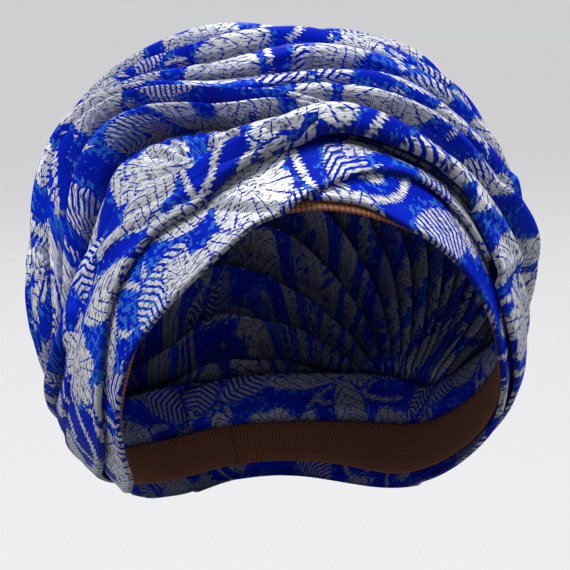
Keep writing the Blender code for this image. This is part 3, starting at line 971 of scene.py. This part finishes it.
@dataclass
class Crown:
    """The pleated sheet over the top of the head, tucked in under the wraps all round.

    Pleats run from ear to ear. Each leans to the front, so that its ridge hangs over the
    crease before it. A row of low_pleats is an extra fold between the front rim and the
    first pleat: its share of that way, of the swell and of the height. They fade out past
    low_pleats_end.
    """

    name: str
    slot: str
    lower: tuple
    covers: tuple
    wall: float = 1.6 * MM
    fullness: float = 7.5 * MM
    pleat_height: float = 8.2 * MM
    trough_room: float = 1.6
    tuck: float = 4.0
    inset: float = 0.035
    rim_inset: float = 0.11
    end_flat: float = 0.075
    end_ease: float = 0.14
    pleat_end_flat: float = 0.045
    pleat_end_ease: float = 0.16
    lean: float = 0.42
    overhang: float = 0.46
    uneven: float = 0.32
    ridge_wander: float = 0.7
    # painted shade: share of the colour kept in the deepest creases and tucked rows
    deepest_painted_shade: float = 0.12
    roundness: float = 0.85
    trough_floor: float = 0.6
    low_pleats: tuple[tuple[float, ...], ...] = ((0.30, 0.45, 0.90), (0.64, 0.70, 1.00))
    low_pleats_end: float = 0.44
    low_pleats_fade: float = 0.12
    steps_a_pleat: int = 16
    steps_tuck: int = 10
    columns: int = 250
    fine_height: float = 1.6 * MM
    cloth_shift: tuple[float, float] = (0.0, 0.0)
    held: Held = Held.GATHERED

    def __post_init__(self) -> None:
        """Find the rims, which come out just past the upper edges of the covering wraps."""
        self.pleats = np.array(PLEATS, float)
        self.rim_places = np.linspace(self.rim_inset, 1.0 - self.rim_inset, 161)
        self.front = np.full_like(self.rim_places, -np.inf)
        self.back = np.full_like(self.rim_places, np.inf)
        for wrap in self.covers:
            share, angle = HEAD.hinge_place(HEAD.direction(*wrap.high[:2]))
            for chosen, sign in ((angle < 90.0, 1.0), (angle >= 90.0, -1.0)):
                order = np.argsort(share[chosen])
                out = -np.inf * sign
                known = share[chosen][order], angle[chosen][order]
                edge = np.interp(self.rim_places, *known, left=out, right=out)
                if sign > 0.0:
                    self.front = np.maximum(self.front, edge + self.trough_room)
                else:
                    self.back = np.minimum(self.back, edge - self.trough_room)

    def troughs(self, across: Grid) -> tuple[Grid, Grid]:
        """Hinge angles where the crown comes out at the front and goes in at the back.

        Args:
            across: shares of the way across the head.

        Returns:
            The two angles in degrees.
        """
        front = np.interp(across, self.rim_places, self.front)
        return front, np.interp(across, self.rim_places, self.back)

    def ridge(self, number: int, across: Grid) -> Grid:
        """Hinge angle of one pleat's ridge, with a slight wander of its own.

        Args:
            number: the pleat's row in PLEATS.
            across: shares of the way across the head.

        Returns:
            The angle in degrees.
        """
        front, back = self.troughs(np.array(PLEAT_STATIONS))
        shares = (self.pleats[number, 2:] - front) / (back - front)
        front, back = self.troughs(across)
        straight = front + (back - front) * glide(across, PLEAT_STATIONS, shares)
        inside = ease((np.minimum(across, 1.0 - across) - self.end_flat) / self.end_ease)
        return straight + self.ridge_wander * inside * wander(across * 1.6, number * 3.7 + 1.0)

    def depth(self, phi: Grid, theta: Grid) -> Grid:
        """Distance inside the crown's nearest edge.

        Args:
            phi: where it is read, in degrees.
            theta: the same.

        Returns:
            Degrees, negative outside.
        """
        ray = HEAD.direction(phi, theta)
        across, angle = HEAD.hinge_place(ray)
        reach = np.hypot(HEAD.hinge_back - ray[..., 1], HEAD.hinge_drop + ray[..., 2])
        front, back = self.troughs(across)
        inside_ends = np.minimum(across - self.inset, 1.0 - self.inset - across) * 180.0
        inside_rims = np.minimum(angle - front, back - angle) + self.tuck
        return np.minimum(inside_ends, inside_rims * reach)

    def top(self, phi: Grid, theta: Grid) -> Grid:
        """Lift of the crown's outer face where it lies flat under the wraps.

        Args:
            phi: where it is read, in degrees.
            theta: the same.

        Returns:
            Lift in metres.
        """
        return STACKING.seat(self.lower, phi, theta) + self.wall

    def lines(self, across: Grid) -> tuple[Grid, Grid, Grid, Grid]:
        """Every grid line across the pleats.

        In one pleat, t runs from its crease to the next. Its height is a power of the sine
        of t warped so that the peak falls on the ridge. The line is pushed back where the
        height is low, which leaves the ridge hanging over the crease before it.

        Args:
            across: shares of the way across the head, one a column.

        Returns:
            Hinge angle, share of the swell, pleat height, and painted shade: the share of
            the colour kept, low in the creases and tucked rows, each by line and column.
        """
        front, back = self.troughs(across)
        main = [self.ridge(number, across) for number in range(len(self.pleats))]
        near = 1.0 - ease((across - self.low_pleats_end) / self.low_pleats_fade)
        ridges = [front + share * (main[0] - front) for share, _, _ in self.low_pleats] + main
        shares = [(swell * near, height * near) for _, swell, height in self.low_pleats]
        shares += [(pleat[0] + 0.0 * across, pleat[1] + 0.0 * across) for pleat in self.pleats]
        pairs = zip(ridges, ridges[1:])
        between = [after - self.lean * (after - before) for before, after in pairs]
        valleys = [front + self.trough_floor, *between, back]
        widths = [high - low for low, high in zip(valleys[:-1], valleys[1:])]
        widths = [widths[0], *widths, 0.0 * across]
        mean_swells = [(before[0] + after[0]) / 2 for before, after in zip(shares, shares[1:])]
        valley_swells = [0.0 * across, *mean_swells, 0.0 * across]
        tucked = np.linspace(0.0, self.tuck, self.steps_tuck + 1)[1:]
        angles = [front - turn for turn in tucked[::-1]] + [front]
        flat, painted_dark = 0.0 * across, self.deepest_painted_shade + 0.0 * across
        swell, height, painted_shade = ([line] * len(angles) for line in (flat, flat, painted_dark))
        for number, (full, high) in enumerate(shares):
            low, width = valleys[number], widths[number + 1]
            peak = np.clip((ridges[number] - low) / width, 0.15, 0.85)
            vary = 1.0 + self.uneven * wander(across * 2.1, number * 1.9 + 0.5, 3)
            strength = 0.6 + 0.4 * wander(across * 2.6, number * 0.7 + 5.0, 3)
            last = number + 1 == len(shares)
            for t in np.arange(self.steps_a_pleat + last) / self.steps_a_pleat:
                warped = np.clip(t ** (np.log(0.5) / np.log(peak)), 0.0, 1.0)
                rise = np.sin(np.pi * warped) ** self.roundness
                beside = widths[number] if t < 0.5 else widths[number + 2]
                local = width + (beside - width) * abs(t - 0.5)
                sway = 0.45 * wander(across * 1.9, number * 2.3, 3)
                fold = crease(2.0 * t + sway + 0.3 * number)
                angles.append(low + width * t + self.overhang * (1.0 - rise) * local)
                beyond = valley_swells[number] if t < 0.5 else valley_swells[number + 1]
                swell.append(beyond + (full - beyond) * ease(2.0 * min(t, 1.0 - t)))
                fine = self.fine_height / self.pleat_height * (0.5 - 0.5 * fold) * strength
                height.append(rise * high * (vary - fine))
                # painted shade: colour darkened where the pleat is low, in its crease
                painted_light_share = ease(1.25 * rise * np.minimum(1.0, 1.4 * high))
                painted_shade.append(self.deepest_painted_shade + (1.0 - self.deepest_painted_shade) * painted_light_share)
        angles += [back + turn for turn in tucked]
        swell += [flat] * len(tucked)
        height += [flat] * len(tucked)
        painted_shade += [painted_dark] * len(tucked)
        return np.array(angles), np.array(swell), np.array(height), np.array(painted_shade)

    def mesh(self) -> ClothMesh:
        """The crown's fine surface: seat, swell and pleats over the head form.

        The swell and the pleats' height ease to nothing at the two ends. A first line is
        dropped where that makes the number of steps even.

        Returns:
            The shell, with its cloth coordinates and the painted shade of its creases.
        """
        across = np.linspace(self.inset, 1.0 - self.inset, self.columns + 1)
        from_end = np.minimum(across, 1.0 - across)
        fullness = self.fullness * ease((from_end - self.end_flat) / self.end_ease)
        fullness = fullness * glide(across, PLEAT_STATIONS, SWELL_ACROSS)
        pleat = self.pleat_height * ease((from_end - self.pleat_end_flat) / self.pleat_end_ease)
        pleat = pleat * glide(across, PLEAT_STATIONS, HEIGHT_ACROSS)
        lines = self.lines(across)
        angles, swell, height, painted_shade = (grid[1 - grid.shape[0] % 2 :] for grid in lines)
        ray = HEAD.hinge_ray(across[None, :], angles)
        inner = STACKING.seat(self.lower, *HEAD.angles(ray)) + fullness * swell + pleat * height
        outer = HEAD.place(ray, inner + self.wall)
        u = ClothMesh.lengths(outer, 1, self.columns // 2) + self.cloth_shift[0]
        v = ClothMesh.lengths(outer, 0, len(angles) // 3) + self.cloth_shift[1]
        turned = (grid[::-1] for grid in (outer, HEAD.place(ray, inner), u, v))
        cloth = ClothMesh(self.name, *turned)
        cloth.attributes["painted_shade"] = painted_shade[::-1]
        return cloth

    def build(self, weave: Brocade, materials: list[bpy.types.Material]) -> bpy.types.Object:
        """Build the crown with the brocade on it, name it after its node and hide that node's
        part.

        Args:
            weave: the brocade's design.
            materials: the face side's finish, and the wrong side's if it differs.

        Returns:
            The finished object.
        """
        return dress(self, self.mesh(), weave, materials)


def dress(
    sheet: Wrap | Crown, cloth: ClothMesh, weave: Brocade, materials: list[bpy.types.Material]
) -> bpy.types.Object:
    """The flat size is worked out from the mesh, because no cut size is known.

    Args:
        sheet: what the cloth is, with its name, slot, hold and the sheets under it.
        cloth: its fine surface.
        weave: the brocade's design.
        materials: the face side's finish, and the wrong side's if it differs.

    Returns:
        The finished object.
    """
    cloth.attributes.update(weave.fields(cloth.u / MM, cloth.v / MM))
    piece, flat = cloth.build(materials), cloth.flat_size()
    piece.name = sheet.name + "_cloth"
    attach(piece, "root")
    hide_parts(sheet.name)
    log.info("%s: %d faces, flat %.3f by %.3f m", piece.name, len(piece.data.polygons), *flat)
    return piece


Colour = tuple[float, float, float, float]
Value = bpy.types.NodeSocket | float


class Nodes:
    """Short ways to add nodes to one tree."""

    def __init__(self, tree: bpy.types.NodeTree) -> None:
        """Work on a tree.

        Args:
            tree: the material's, world's or group's nodes.
        """
        self.tree = tree

    def add(self, kind: str, **settings: object) -> bpy.types.Node:
        """A new node with its properties set.

        Args:
            kind: Blender's name for the node's type.
            settings: the properties and their values.

        Returns:
            The node.
        """
        node = self.tree.nodes.new(kind)
        for key, value in settings.items():
            setattr(node, key, value)
        return node

    def feed(self, socket: bpy.types.NodeSocket, value: object) -> None:
        """Link a socket to another, or set its value.

        Args:
            socket: the input.
            value: an output to link from, or a plain value.
        """
        if isinstance(value, bpy.types.NodeSocket):
            self.tree.links.new(value, socket)
        else:
            socket.default_value = value

    def math(self, operation: str, *values: Value, clamp: bool = False) -> bpy.types.NodeSocket:
        """Result of a Math node on these values.

        Args:
            operation: the Math node's operation.
            values: its inputs in order.
            clamp: whether the result is held between 0 and 1.

        Returns:
            The node's output.
        """
        node = self.add("ShaderNodeMath", operation=operation, use_clamp=clamp)
        for socket, value in zip(node.inputs, values):
            self.feed(socket, value)
        return node.outputs[0]

    def band(self, value: Value, low: Value, high: Value) -> bpy.types.NodeSocket:
        """Smooth step from 0 at low to 1 at high.

        Args:
            value: what is compared.
            low: where the step starts.
            high: where it ends.

        Returns:
            The step.
        """
        node = self.add("ShaderNodeMapRange", interpolation_type="SMOOTHSTEP")
        for key, given in (("Value", value), ("From Min", low), ("From Max", high)):
            self.feed(node.inputs[key], given)
        return node.outputs[0]

    def principled(self, roughness: Value) -> bpy.types.Node:
        """The tree's own surface shader, with its roughness set.

        Args:
            roughness: a value or an output.

        Returns:
            The Principled BSDF.
        """
        surface = self.tree.nodes["Principled BSDF"]
        self.feed(surface.inputs["Roughness"], roughness)
        return surface

    def bump(
        self, surface: bpy.types.Node, height: Value, distance: float, strength: float
    ) -> None:
        """Give a surface a relief.

        Args:
            surface: the Principled BSDF.
            height: the relief's height, 1 at the full distance.
            distance: that distance in metres.
            strength: how much the relief turns the light.
        """
        node = self.add("ShaderNodeBump")
        node.inputs["Distance"].default_value = distance
        node.inputs["Strength"].default_value = strength
        self.feed(node.inputs["Height"], height)
        self.feed(surface.inputs["Normal"], node.outputs[0])

    def mix(self, share: Value, first: object, second: object) -> bpy.types.NodeSocket:
        """Colour between two colours.

        Args:
            share: 0 for the first, 1 for the second.
            first: a colour or an output.
            second: the same.

        Returns:
            The mixed colour.
        """
        node = self.add("ShaderNodeMix", data_type="RGBA")
        self.feed(node.inputs[0], share)
        self.feed(node.inputs[6], first)
        self.feed(node.inputs[7], second)
        return node.outputs[2]

    def attribute(self, name: str) -> bpy.types.NodeSocket:
        """A number stored on the mesh.

        Args:
            name: the attribute's name.

        Returns:
            Its value, read between the mesh points.
        """
        return self.add("ShaderNodeAttribute", attribute_name=name).outputs["Fac"]

    def noise(self, vector: Value, scale: float, detail: float = 2.0) -> bpy.types.NodeSocket:
        """Noise between 0 and 1.

        Args:
            vector: where it is read.
            scale: grains to the metre.
            detail: how many finer layers are added.

        Returns:
            The noise.
        """
        node = self.add("ShaderNodeTexNoise")
        self.feed(node.inputs["Vector"], vector)
        node.inputs["Scale"].default_value = scale
        node.inputs["Detail"].default_value = detail
        return node.outputs["Fac"]


class JacquardGroup:
    """Node group that turns the stored design into woven threads.

    Silver is the depth inside a figure, plus comb teeth and a little noise, cut off at
    zero. Engraved lines are bare where the vein phase is near a whole number. Height is
    the silver's float over the ground, with the ribs of the weft. The sizes here are in
    metres of cloth, the grains to the metre, and the rest in millimetres of depth.
    """

    NAME = "jacquard_weave"
    INPUTS = ("Motif", "Stem", "Vein", "Open", "Tone")
    OUTPUTS = ("Silver", "Mid", "Grain", "Gold", "Height")
    TOOTH = 1.25 * MM
    TOOTH_SLANT = 0.35
    TOOTH_DEPTH = 0.95
    RAGGED_GRAINS, RAGGED_DEPTH = 900.0, 1.7
    SOFT_EDGE = 0.12
    LINE_EDGE = 0.06
    WOBBLE_GRAINS, WOBBLE = 160.0, 0.7
    STEM_HALF_WIDTH = 1.05
    FLECK_GRAINS = 520.0
    MID_STRENGTH = 0.85
    THREAD_GRAINS = (420.0, 1700.0, 1.0)
    GOLD_GRAINS = 640.0
    RIB = 0.62 * MM

    @classmethod
    def get(cls) -> bpy.types.NodeTree:
        """The group, built the first time that it is asked for.

        Returns:
            The node group.
        """
        return bpy.data.node_groups.get(cls.NAME) or cls.build()

    @classmethod
    def silver(cls, n: Nodes, given: object, teeth: Value) -> Value:
        """Where silver threads lie on top.

        Args:
            n: the group's nodes.
            given: the group's inputs.
            teeth: comb teeth between -0.5 and 0.5.

        Returns:
            1 on silver, 0 off it.
        """
        ragged = n.math("SUBTRACT", n.noise(given["Cloth"], cls.RAGGED_GRAINS), 0.5)
        ragged = n.math("MULTIPLY", ragged, cls.RAGGED_DEPTH)
        jog = n.math("MULTIPLY_ADD", teeth, cls.TOOTH_DEPTH, ragged)
        figure = n.band(n.math("ADD", given["Motif"], jog), -cls.SOFT_EDGE, cls.SOFT_EDGE)
        wobble = n.math("SUBTRACT", n.noise(given["Cloth"], cls.WOBBLE_GRAINS), 0.5)
        line = n.math("MULTIPLY_ADD", wobble, cls.WOBBLE, n.math("MULTIPLY", given["Vein"], 2.0))
        line = n.math("ADD", n.math("PINGPONG", line, 1.0), n.math("MULTIPLY", jog, 0.22))
        low = n.math("SUBTRACT", given["Open"], cls.LINE_EDGE)
        high = n.math("ADD", given["Open"], cls.LINE_EDGE)
        figure = n.math("MULTIPLY", figure, n.band(line, low, high))
        stem = n.math("SUBTRACT", cls.STEM_HALF_WIDTH, given["Stem"])
        stem = n.math("MULTIPLY_ADD", jog, 1.2, stem)
        return n.math("MAXIMUM", figure, n.band(stem, -cls.SOFT_EDGE, cls.SOFT_EDGE))

    @classmethod
    def mid(cls, n: Nodes, given: object, teeth: Value) -> Value:
        """Where mid-blue threads lie: flecked stripes in the clouds, and figures' rims.

        Args:
            n: the group's nodes.
            given: the group's inputs.
            teeth: comb teeth between -0.5 and 0.5.

        Returns:
            Share of mid-blue.
        """
        flecks = n.noise(given["Cloth"], cls.FLECK_GRAINS, 4.0)
        tone = n.math("MINIMUM", given["Tone"], 1.2)
        loose = n.math("MULTIPLY_ADD", n.math("SUBTRACT", flecks, 0.56), 26.0, tone)
        stripes = n.math("MULTIPLY_ADD", teeth, 2.4, loose)
        rim = n.math("SUBTRACT", 1.5, n.math("ABSOLUTE", n.math("ADD", given["Motif"], 1.2)))
        rim = n.math("MULTIPLY_ADD", n.math("SUBTRACT", flecks, 0.60), 16.0, rim)
        either = n.band(n.math("MAXIMUM", stripes, rim), -0.4, 0.6)
        return n.math("MULTIPLY", either, cls.MID_STRENGTH)

    @classmethod
    def grain(cls, n: Nodes, given: object) -> Value:
        """Single threads: noise that is four times as fine across the cloth as along it.

        Args:
            n: the group's nodes.
            given: the group's inputs.

        Returns:
            0 between threads, 1 on them.
        """
        stretched = n.add("ShaderNodeMapping")
        stretched.inputs["Scale"].default_value = cls.THREAD_GRAINS
        n.feed(stretched.inputs["Vector"], given["Cloth"])
        return n.band(n.noise(stretched.outputs[0], 1.0), 0.34, 0.52)

    @classmethod
    def build(cls) -> bpy.types.NodeTree:
        """Make the group's sockets and nodes.

        Returns:
            The node group.
        """
        tree = bpy.data.node_groups.new(cls.NAME, "ShaderNodeTree")
        sockets = tree.interface
        for name in cls.INPUTS:
            sockets.new_socket(name, in_out="INPUT", socket_type="NodeSocketFloat")
        sockets.new_socket("Cloth", in_out="INPUT", socket_type="NodeSocketVector")
        for name in cls.OUTPUTS:
            sockets.new_socket(name, in_out="OUTPUT", socket_type="NodeSocketFloat")
        n = Nodes(tree)
        given = n.add("NodeGroupInput").outputs
        put = n.add("NodeGroupOutput").inputs
        parts = n.add("ShaderNodeSeparateXYZ")
        n.feed(parts.inputs[0], given["Cloth"])
        u, v = parts.outputs[0], parts.outputs[1]
        slant = n.math("MULTIPLY_ADD", u, cls.TOOTH_SLANT, v)
        teeth = n.math("PINGPONG", n.math("DIVIDE", slant, cls.TOOTH / 2), 1.0)
        teeth = n.math("SUBTRACT", teeth, 0.5)
        silver, grain = cls.silver(n, given, teeth), cls.grain(n, given)
        n.feed(put["Silver"], silver)
        n.feed(put["Mid"], cls.mid(n, given, teeth))
        n.feed(put["Grain"], grain)
        n.feed(put["Gold"], n.band(n.noise(given["Cloth"], cls.GOLD_GRAINS, 3.0), 0.66, 0.72))
        rib = n.math("PINGPONG", n.math("DIVIDE", v, cls.RIB / 2), 1.0)
        relief = n.math("MULTIPLY_ADD", grain, 0.45, n.math("MULTIPLY", rib, 0.35))
        relief = n.math("MULTIPLY", relief, n.math("MULTIPLY_ADD", silver, 0.8, 0.2))
        n.feed(put["Height"], n.math("ADD", silver, relief))
        return tree


@dataclass(frozen=True)
class BrocadeFinish:
    """Royal blue satin ground with silver metallic figures.

    The ground goes between two blues in soft patches. Hems and creases have painted shade:
    their base colour darkens to the crease colour by the mesh's painted shade.
    """

    name: str
    ground: Colour = (0.0, 0.022, 0.56, 1.0)
    ground_deep: Colour = (0.0, 0.009, 0.40, 1.0)
    mid: Colour = (0.028, 0.16, 0.60, 1.0)
    silver: Colour = (0.82, 0.83, 0.86, 1.0)
    shadow_thread: Colour = (0.07, 0.10, 0.24, 1.0)
    gold: Colour = (0.62, 0.48, 0.24, 1.0)
    # painted shade: the colour that hems and creases darken to
    crease: Colour = (0.001, 0.002, 0.03, 1.0)
    ground_rough: float = 0.55
    silver_rough: float = 0.42
    silver_metal: float = 0.35
    specular: float = 0.07
    relief: float = 0.16 * MM
    relief_strength: float = 0.9
    patch_grains: float = 45.0
    gold_share: float = 0.7

    def material(self) -> bpy.types.Material:
        """Build the material from the stored design and the jacquard group.

        Returns:
            The material.
        """
        material = bpy.data.materials.new(self.name)
        material.use_nodes = True
        n = Nodes(material.node_tree)
        weave = n.add("ShaderNodeGroup", node_tree=JacquardGroup.get())
        for name in JacquardGroup.INPUTS:
            n.feed(weave.inputs[name], n.attribute(name.lower()))
        cloth = n.add("ShaderNodeUVMap", uv_map="cloth").outputs[0]
        n.feed(weave.inputs["Cloth"], cloth)
        out = weave.outputs
        patches = n.band(n.noise(cloth, self.patch_grains), 0.3, 0.7)
        ground = n.mix(patches, self.ground_deep, self.ground)
        ground = n.mix(out["Mid"], ground, self.mid)
        metal = n.mix(out["Grain"], self.shadow_thread, self.silver)
        metal = n.mix(n.math("MULTIPLY", out["Gold"], self.gold_share), metal, self.gold)
        colour = n.mix(out["Silver"], ground, metal)
        smoother = self.silver_rough - self.ground_rough
        rough = n.math("MULTIPLY_ADD", out["Silver"], smoother, self.ground_rough)
        surface = n.principled(rough)
        # painted shade: the base colour darkens towards the crease colour by the mesh's painted
        # shade
        n.feed(surface.inputs["Base Color"], n.mix(n.attribute("painted_shade"), self.crease, colour))
        n.feed(surface.inputs["Metallic"], n.math("MULTIPLY", out["Silver"], self.silver_metal))
        surface.inputs["Specular IOR Level"].default_value = self.specular
        n.bump(surface, out["Height"], self.relief, self.relief_strength)
        return material


@dataclass(frozen=True)
class KnitFinish:
    """Brown ribbed knit of the cap under the tie."""

    name: str = "lining_knit"
    yarn: Colour = (0.30, 0.115, 0.055, 1.0)
    gap: Colour = (0.07, 0.025, 0.012, 1.0)
    rib: float = 1.5 * MM
    stitch: float = 1.1 * MM
    fuzz_grains: float = 1500.0
    roughness: float = 0.9
    relief: float = 0.3 * MM
    relief_strength: float = 1.0

    def material(self) -> bpy.types.Material:
        """Ribs across the band, crossed by stitches: pingpong waves of the cloth's u and v.

        Returns:
            The material.
        """
        material = bpy.data.materials.new(self.name)
        material.use_nodes = True
        n = Nodes(material.node_tree)
        cloth = n.add("ShaderNodeUVMap", uv_map="cloth").outputs[0]
        parts = n.add("ShaderNodeSeparateXYZ")
        n.feed(parts.inputs[0], cloth)
        rib = n.math("PINGPONG", n.math("DIVIDE", parts.outputs[0], self.rib / 2), 1.0)
        stitch = n.math("PINGPONG", n.math("DIVIDE", parts.outputs[1], self.stitch / 2), 1.0)
        height = n.math("MULTIPLY_ADD", stitch, 0.35, n.math("MULTIPLY", rib, 0.65))
        fuzz = n.math("MULTIPLY_ADD", n.noise(cloth, self.fuzz_grains), 0.4, height)
        surface = n.principled(self.roughness)
        n.feed(surface.inputs["Base Color"], n.mix(n.band(fuzz, 0.2, 0.9), self.gap, self.yarn))
        n.bump(surface, fuzz, self.relief, self.relief_strength)
        return material


@dataclass(frozen=True)
class Lamp:
    """A soft square light aimed at the head tie."""

    name: str
    place: tuple[float, float, float]
    side: float
    power: float

    def build(self) -> bpy.types.Object:
        """Place the light and turn it to the origin.

        Its axes are the ray to the origin and that ray's cross products with up.

        Returns:
            The lamp.
        """
        light = bpy.data.lights.new(self.name, "AREA")
        light.size = self.side
        light.energy = self.power
        lamp = bpy.data.objects.new(self.name, light)
        lamp.location = self.place
        towards = -np.array(self.place) / np.linalg.norm(self.place)
        side = np.cross(towards, (0.0, 0.0, 1.0))
        side /= np.linalg.norm(side)
        axes = np.stack((side, np.cross(side, towards), -towards), -1)
        lamp.rotation_euler = Matrix(axes.tolist()).to_euler()
        bpy.context.scene.collection.objects.link(lamp)
        return lamp


@dataclass(frozen=True)
class Studio:
    """Pale floor that runs to the horizon, soft lights, and the camera.

    The camera's angles are in degrees, and its focal length and picture centre in pixels
    of a square picture. The sensor is in millimetres.
    """

    floor_drop: float = 0.26
    floor_radius: float = 30.0
    floor_sides: int = 64
    floor_rough: float = 0.9
    floor_specular: float = 0.1
    sky_tint: Colour = (0.97, 0.98, 1.0, 1.0)
    pale: Colour = (0.74, 0.735, 0.75, 1.0)
    base: Colour = (0.30, 0.30, 0.305, 1.0)
    glow: float = 0.68
    sky: float = 0.38
    haze: float = 0.02
    azimuth: float = -17.0
    elevation: float = 16.0
    roll: float = 1.5
    distance: float = 0.400
    focal_px: float = 1104.0
    centre_px: tuple[float, float] = (280.0, 345.0)
    frame_px: float = 570.0
    sensor: float = 36.0
    lamps: tuple[Lamp, ...] = (
        Lamp("key", (-0.45, -0.60, 1.55), 0.5, 27.0),
        Lamp("fill", (1.2, -0.9, 0.6), 0.9, 6.0),
        Lamp("rim", (0.3, 1.2, 1.2), 0.9, 9.0),
    )

    def floor(self) -> bpy.types.Object:
        """Round floor, whose glow only the camera sees, so it lights nothing.

        Returns:
            The floor.
        """
        turn = np.linspace(0.0, 2.0 * np.pi, self.floor_sides, endpoint=False)
        x, y = self.floor_radius * np.cos(turn), self.floor_radius * np.sin(turn)
        points = np.stack((x, y, np.full_like(turn, -self.floor_drop)), -1)
        mesh = bpy.data.meshes.new("floor")
        mesh.from_pydata(points.tolist(), [], [list(range(len(points)))])
        material = bpy.data.materials.new("floor")
        material.use_nodes = True
        n = Nodes(material.node_tree)
        surface = n.principled(self.floor_rough)
        surface.inputs["Base Color"].default_value = self.base
        surface.inputs["Specular IOR Level"].default_value = self.floor_specular
        surface.inputs["Emission Color"].default_value = self.pale
        seen = n.add("ShaderNodeLightPath").outputs["Is Camera Ray"]
        n.feed(surface.inputs["Emission Strength"], n.math("MULTIPLY", seen, self.glow))
        mesh.materials.append(material)
        floor = bpy.data.objects.new("floor", mesh)
        bpy.context.scene.collection.objects.link(floor)
        return floor

    def sky_light(self) -> bpy.types.World:
        """Even light from all round, which the camera sees as pale as the far floor.

        Returns:
            The world.
        """
        world = bpy.data.worlds.new("studio")
        world.use_nodes = True
        n = Nodes(world.node_tree)
        background = world.node_tree.nodes["Background"]
        background.inputs["Color"].default_value = self.sky_tint
        seen = self.base[0] * self.sky + self.pale[0] * self.glow + self.haze
        path = n.add("ShaderNodeLightPath").outputs["Is Camera Ray"]
        strength = n.math("MULTIPLY_ADD", path, seen - self.sky, self.sky)
        n.feed(background.inputs["Strength"], strength)
        bpy.context.scene.world = world
        return world

    def camera(self) -> bpy.types.Object:
        """Camera on a ray from the origin, with the photograph's roll, reach and framing.

        Returns:
            The camera.
        """
        back = HEAD.direction(self.azimuth, self.elevation)
        azimuth, roll = math.radians(self.azimuth), math.radians(self.roll)
        level = np.array([math.cos(azimuth), math.sin(azimuth), 0.0])
        upright = np.cross(back, level)
        right = level * math.cos(roll) - upright * math.sin(roll)
        up = level * math.sin(roll) + upright * math.cos(roll)
        lens = bpy.data.cameras.new("camera")
        lens.sensor_width = self.sensor
        lens.lens = self.focal_px * self.sensor / self.frame_px
        lens.clip_start = 0.01
        lens.shift_x = (self.frame_px / 2 - self.centre_px[0]) / self.frame_px
        lens.shift_y = (self.centre_px[1] - self.frame_px / 2) / self.frame_px
        camera = bpy.data.objects.new("camera", lens)
        pose = np.eye(4)
        pose[:3] = np.stack((right, up, back, back * self.distance), -1)
        camera.matrix_world = Matrix(pose.tolist())
        bpy.context.scene.collection.objects.link(camera)
        bpy.context.scene.camera = camera
        return camera

    def build(self) -> None:
        """Set the room, the lights and the camera."""
        self.floor()
        self.sky_light()
        for lamp in self.lamps:
            lamp.build()
        bpy.context.scene.view_settings.view_transform = "Standard"
        self.camera()


def main() -> None:
    """Build the studio, then the sheets from the skin outwards."""
    logging.basicConfig(level=logging.INFO, format="%(name)s: %(message)s")
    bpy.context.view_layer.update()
    Studio().build()
    weave = Brocade()
    face_side = BrocadeFinish("brocade")
    wrong_side = BrocadeFinish("brocade_wrong_side", silver=(0.36, 0.37, 0.44, 1.0))
    brocade = [face_side.material(), wrong_side.material()]
    knit = [KnitFinish().material()]
    lining = Wrap(
        "lining_band", "lining_knit", LINING_EDGES, (),
        wall=1.0 * MM, puff=0.0, wrinkle=0.0, steps_across=24, closed=True,
    )
    under = Wrap("band_under", "brocade_band", UNDER_EDGES, (lining,), seed=2.0)
    over = Wrap(
        "band_over", "brocade_band", OVER_EDGES, (lining, under),
        seed=3.0, cloth_shift=(0.03, 0.05),
    )
    panel = Puff(
        "wrap_puff", "brocade_wrap", PANEL_EDGES, (),
        puff=7.5 * MM, edge_fullness=0.85, held=Held.GATHERED, seed=4.0, cloth_shift=(0.07, 0.01),
    )
    fold = Wrap(
        "wrap_fold", "brocade_wrap", FOLD_EDGES, (),
        puff=2.4 * MM, edge_fullness=0.8, held=Held.FOLDED, seed=5.0, cloth_shift=(0.02, 0.07),
    )
    crown = Crown("crown", "brocade_crown", (lining, under, over), (panel, fold))
    panel.lower = (lining, under, over, crown)
    fold.lower = (lining, under, over, crown, panel)
    lining.build(weave, knit)
    for sheet in (under, over, crown, panel, fold):
        sheet.build(weave, brocade)
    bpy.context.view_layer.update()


if __name__ == "__main__":
    main()
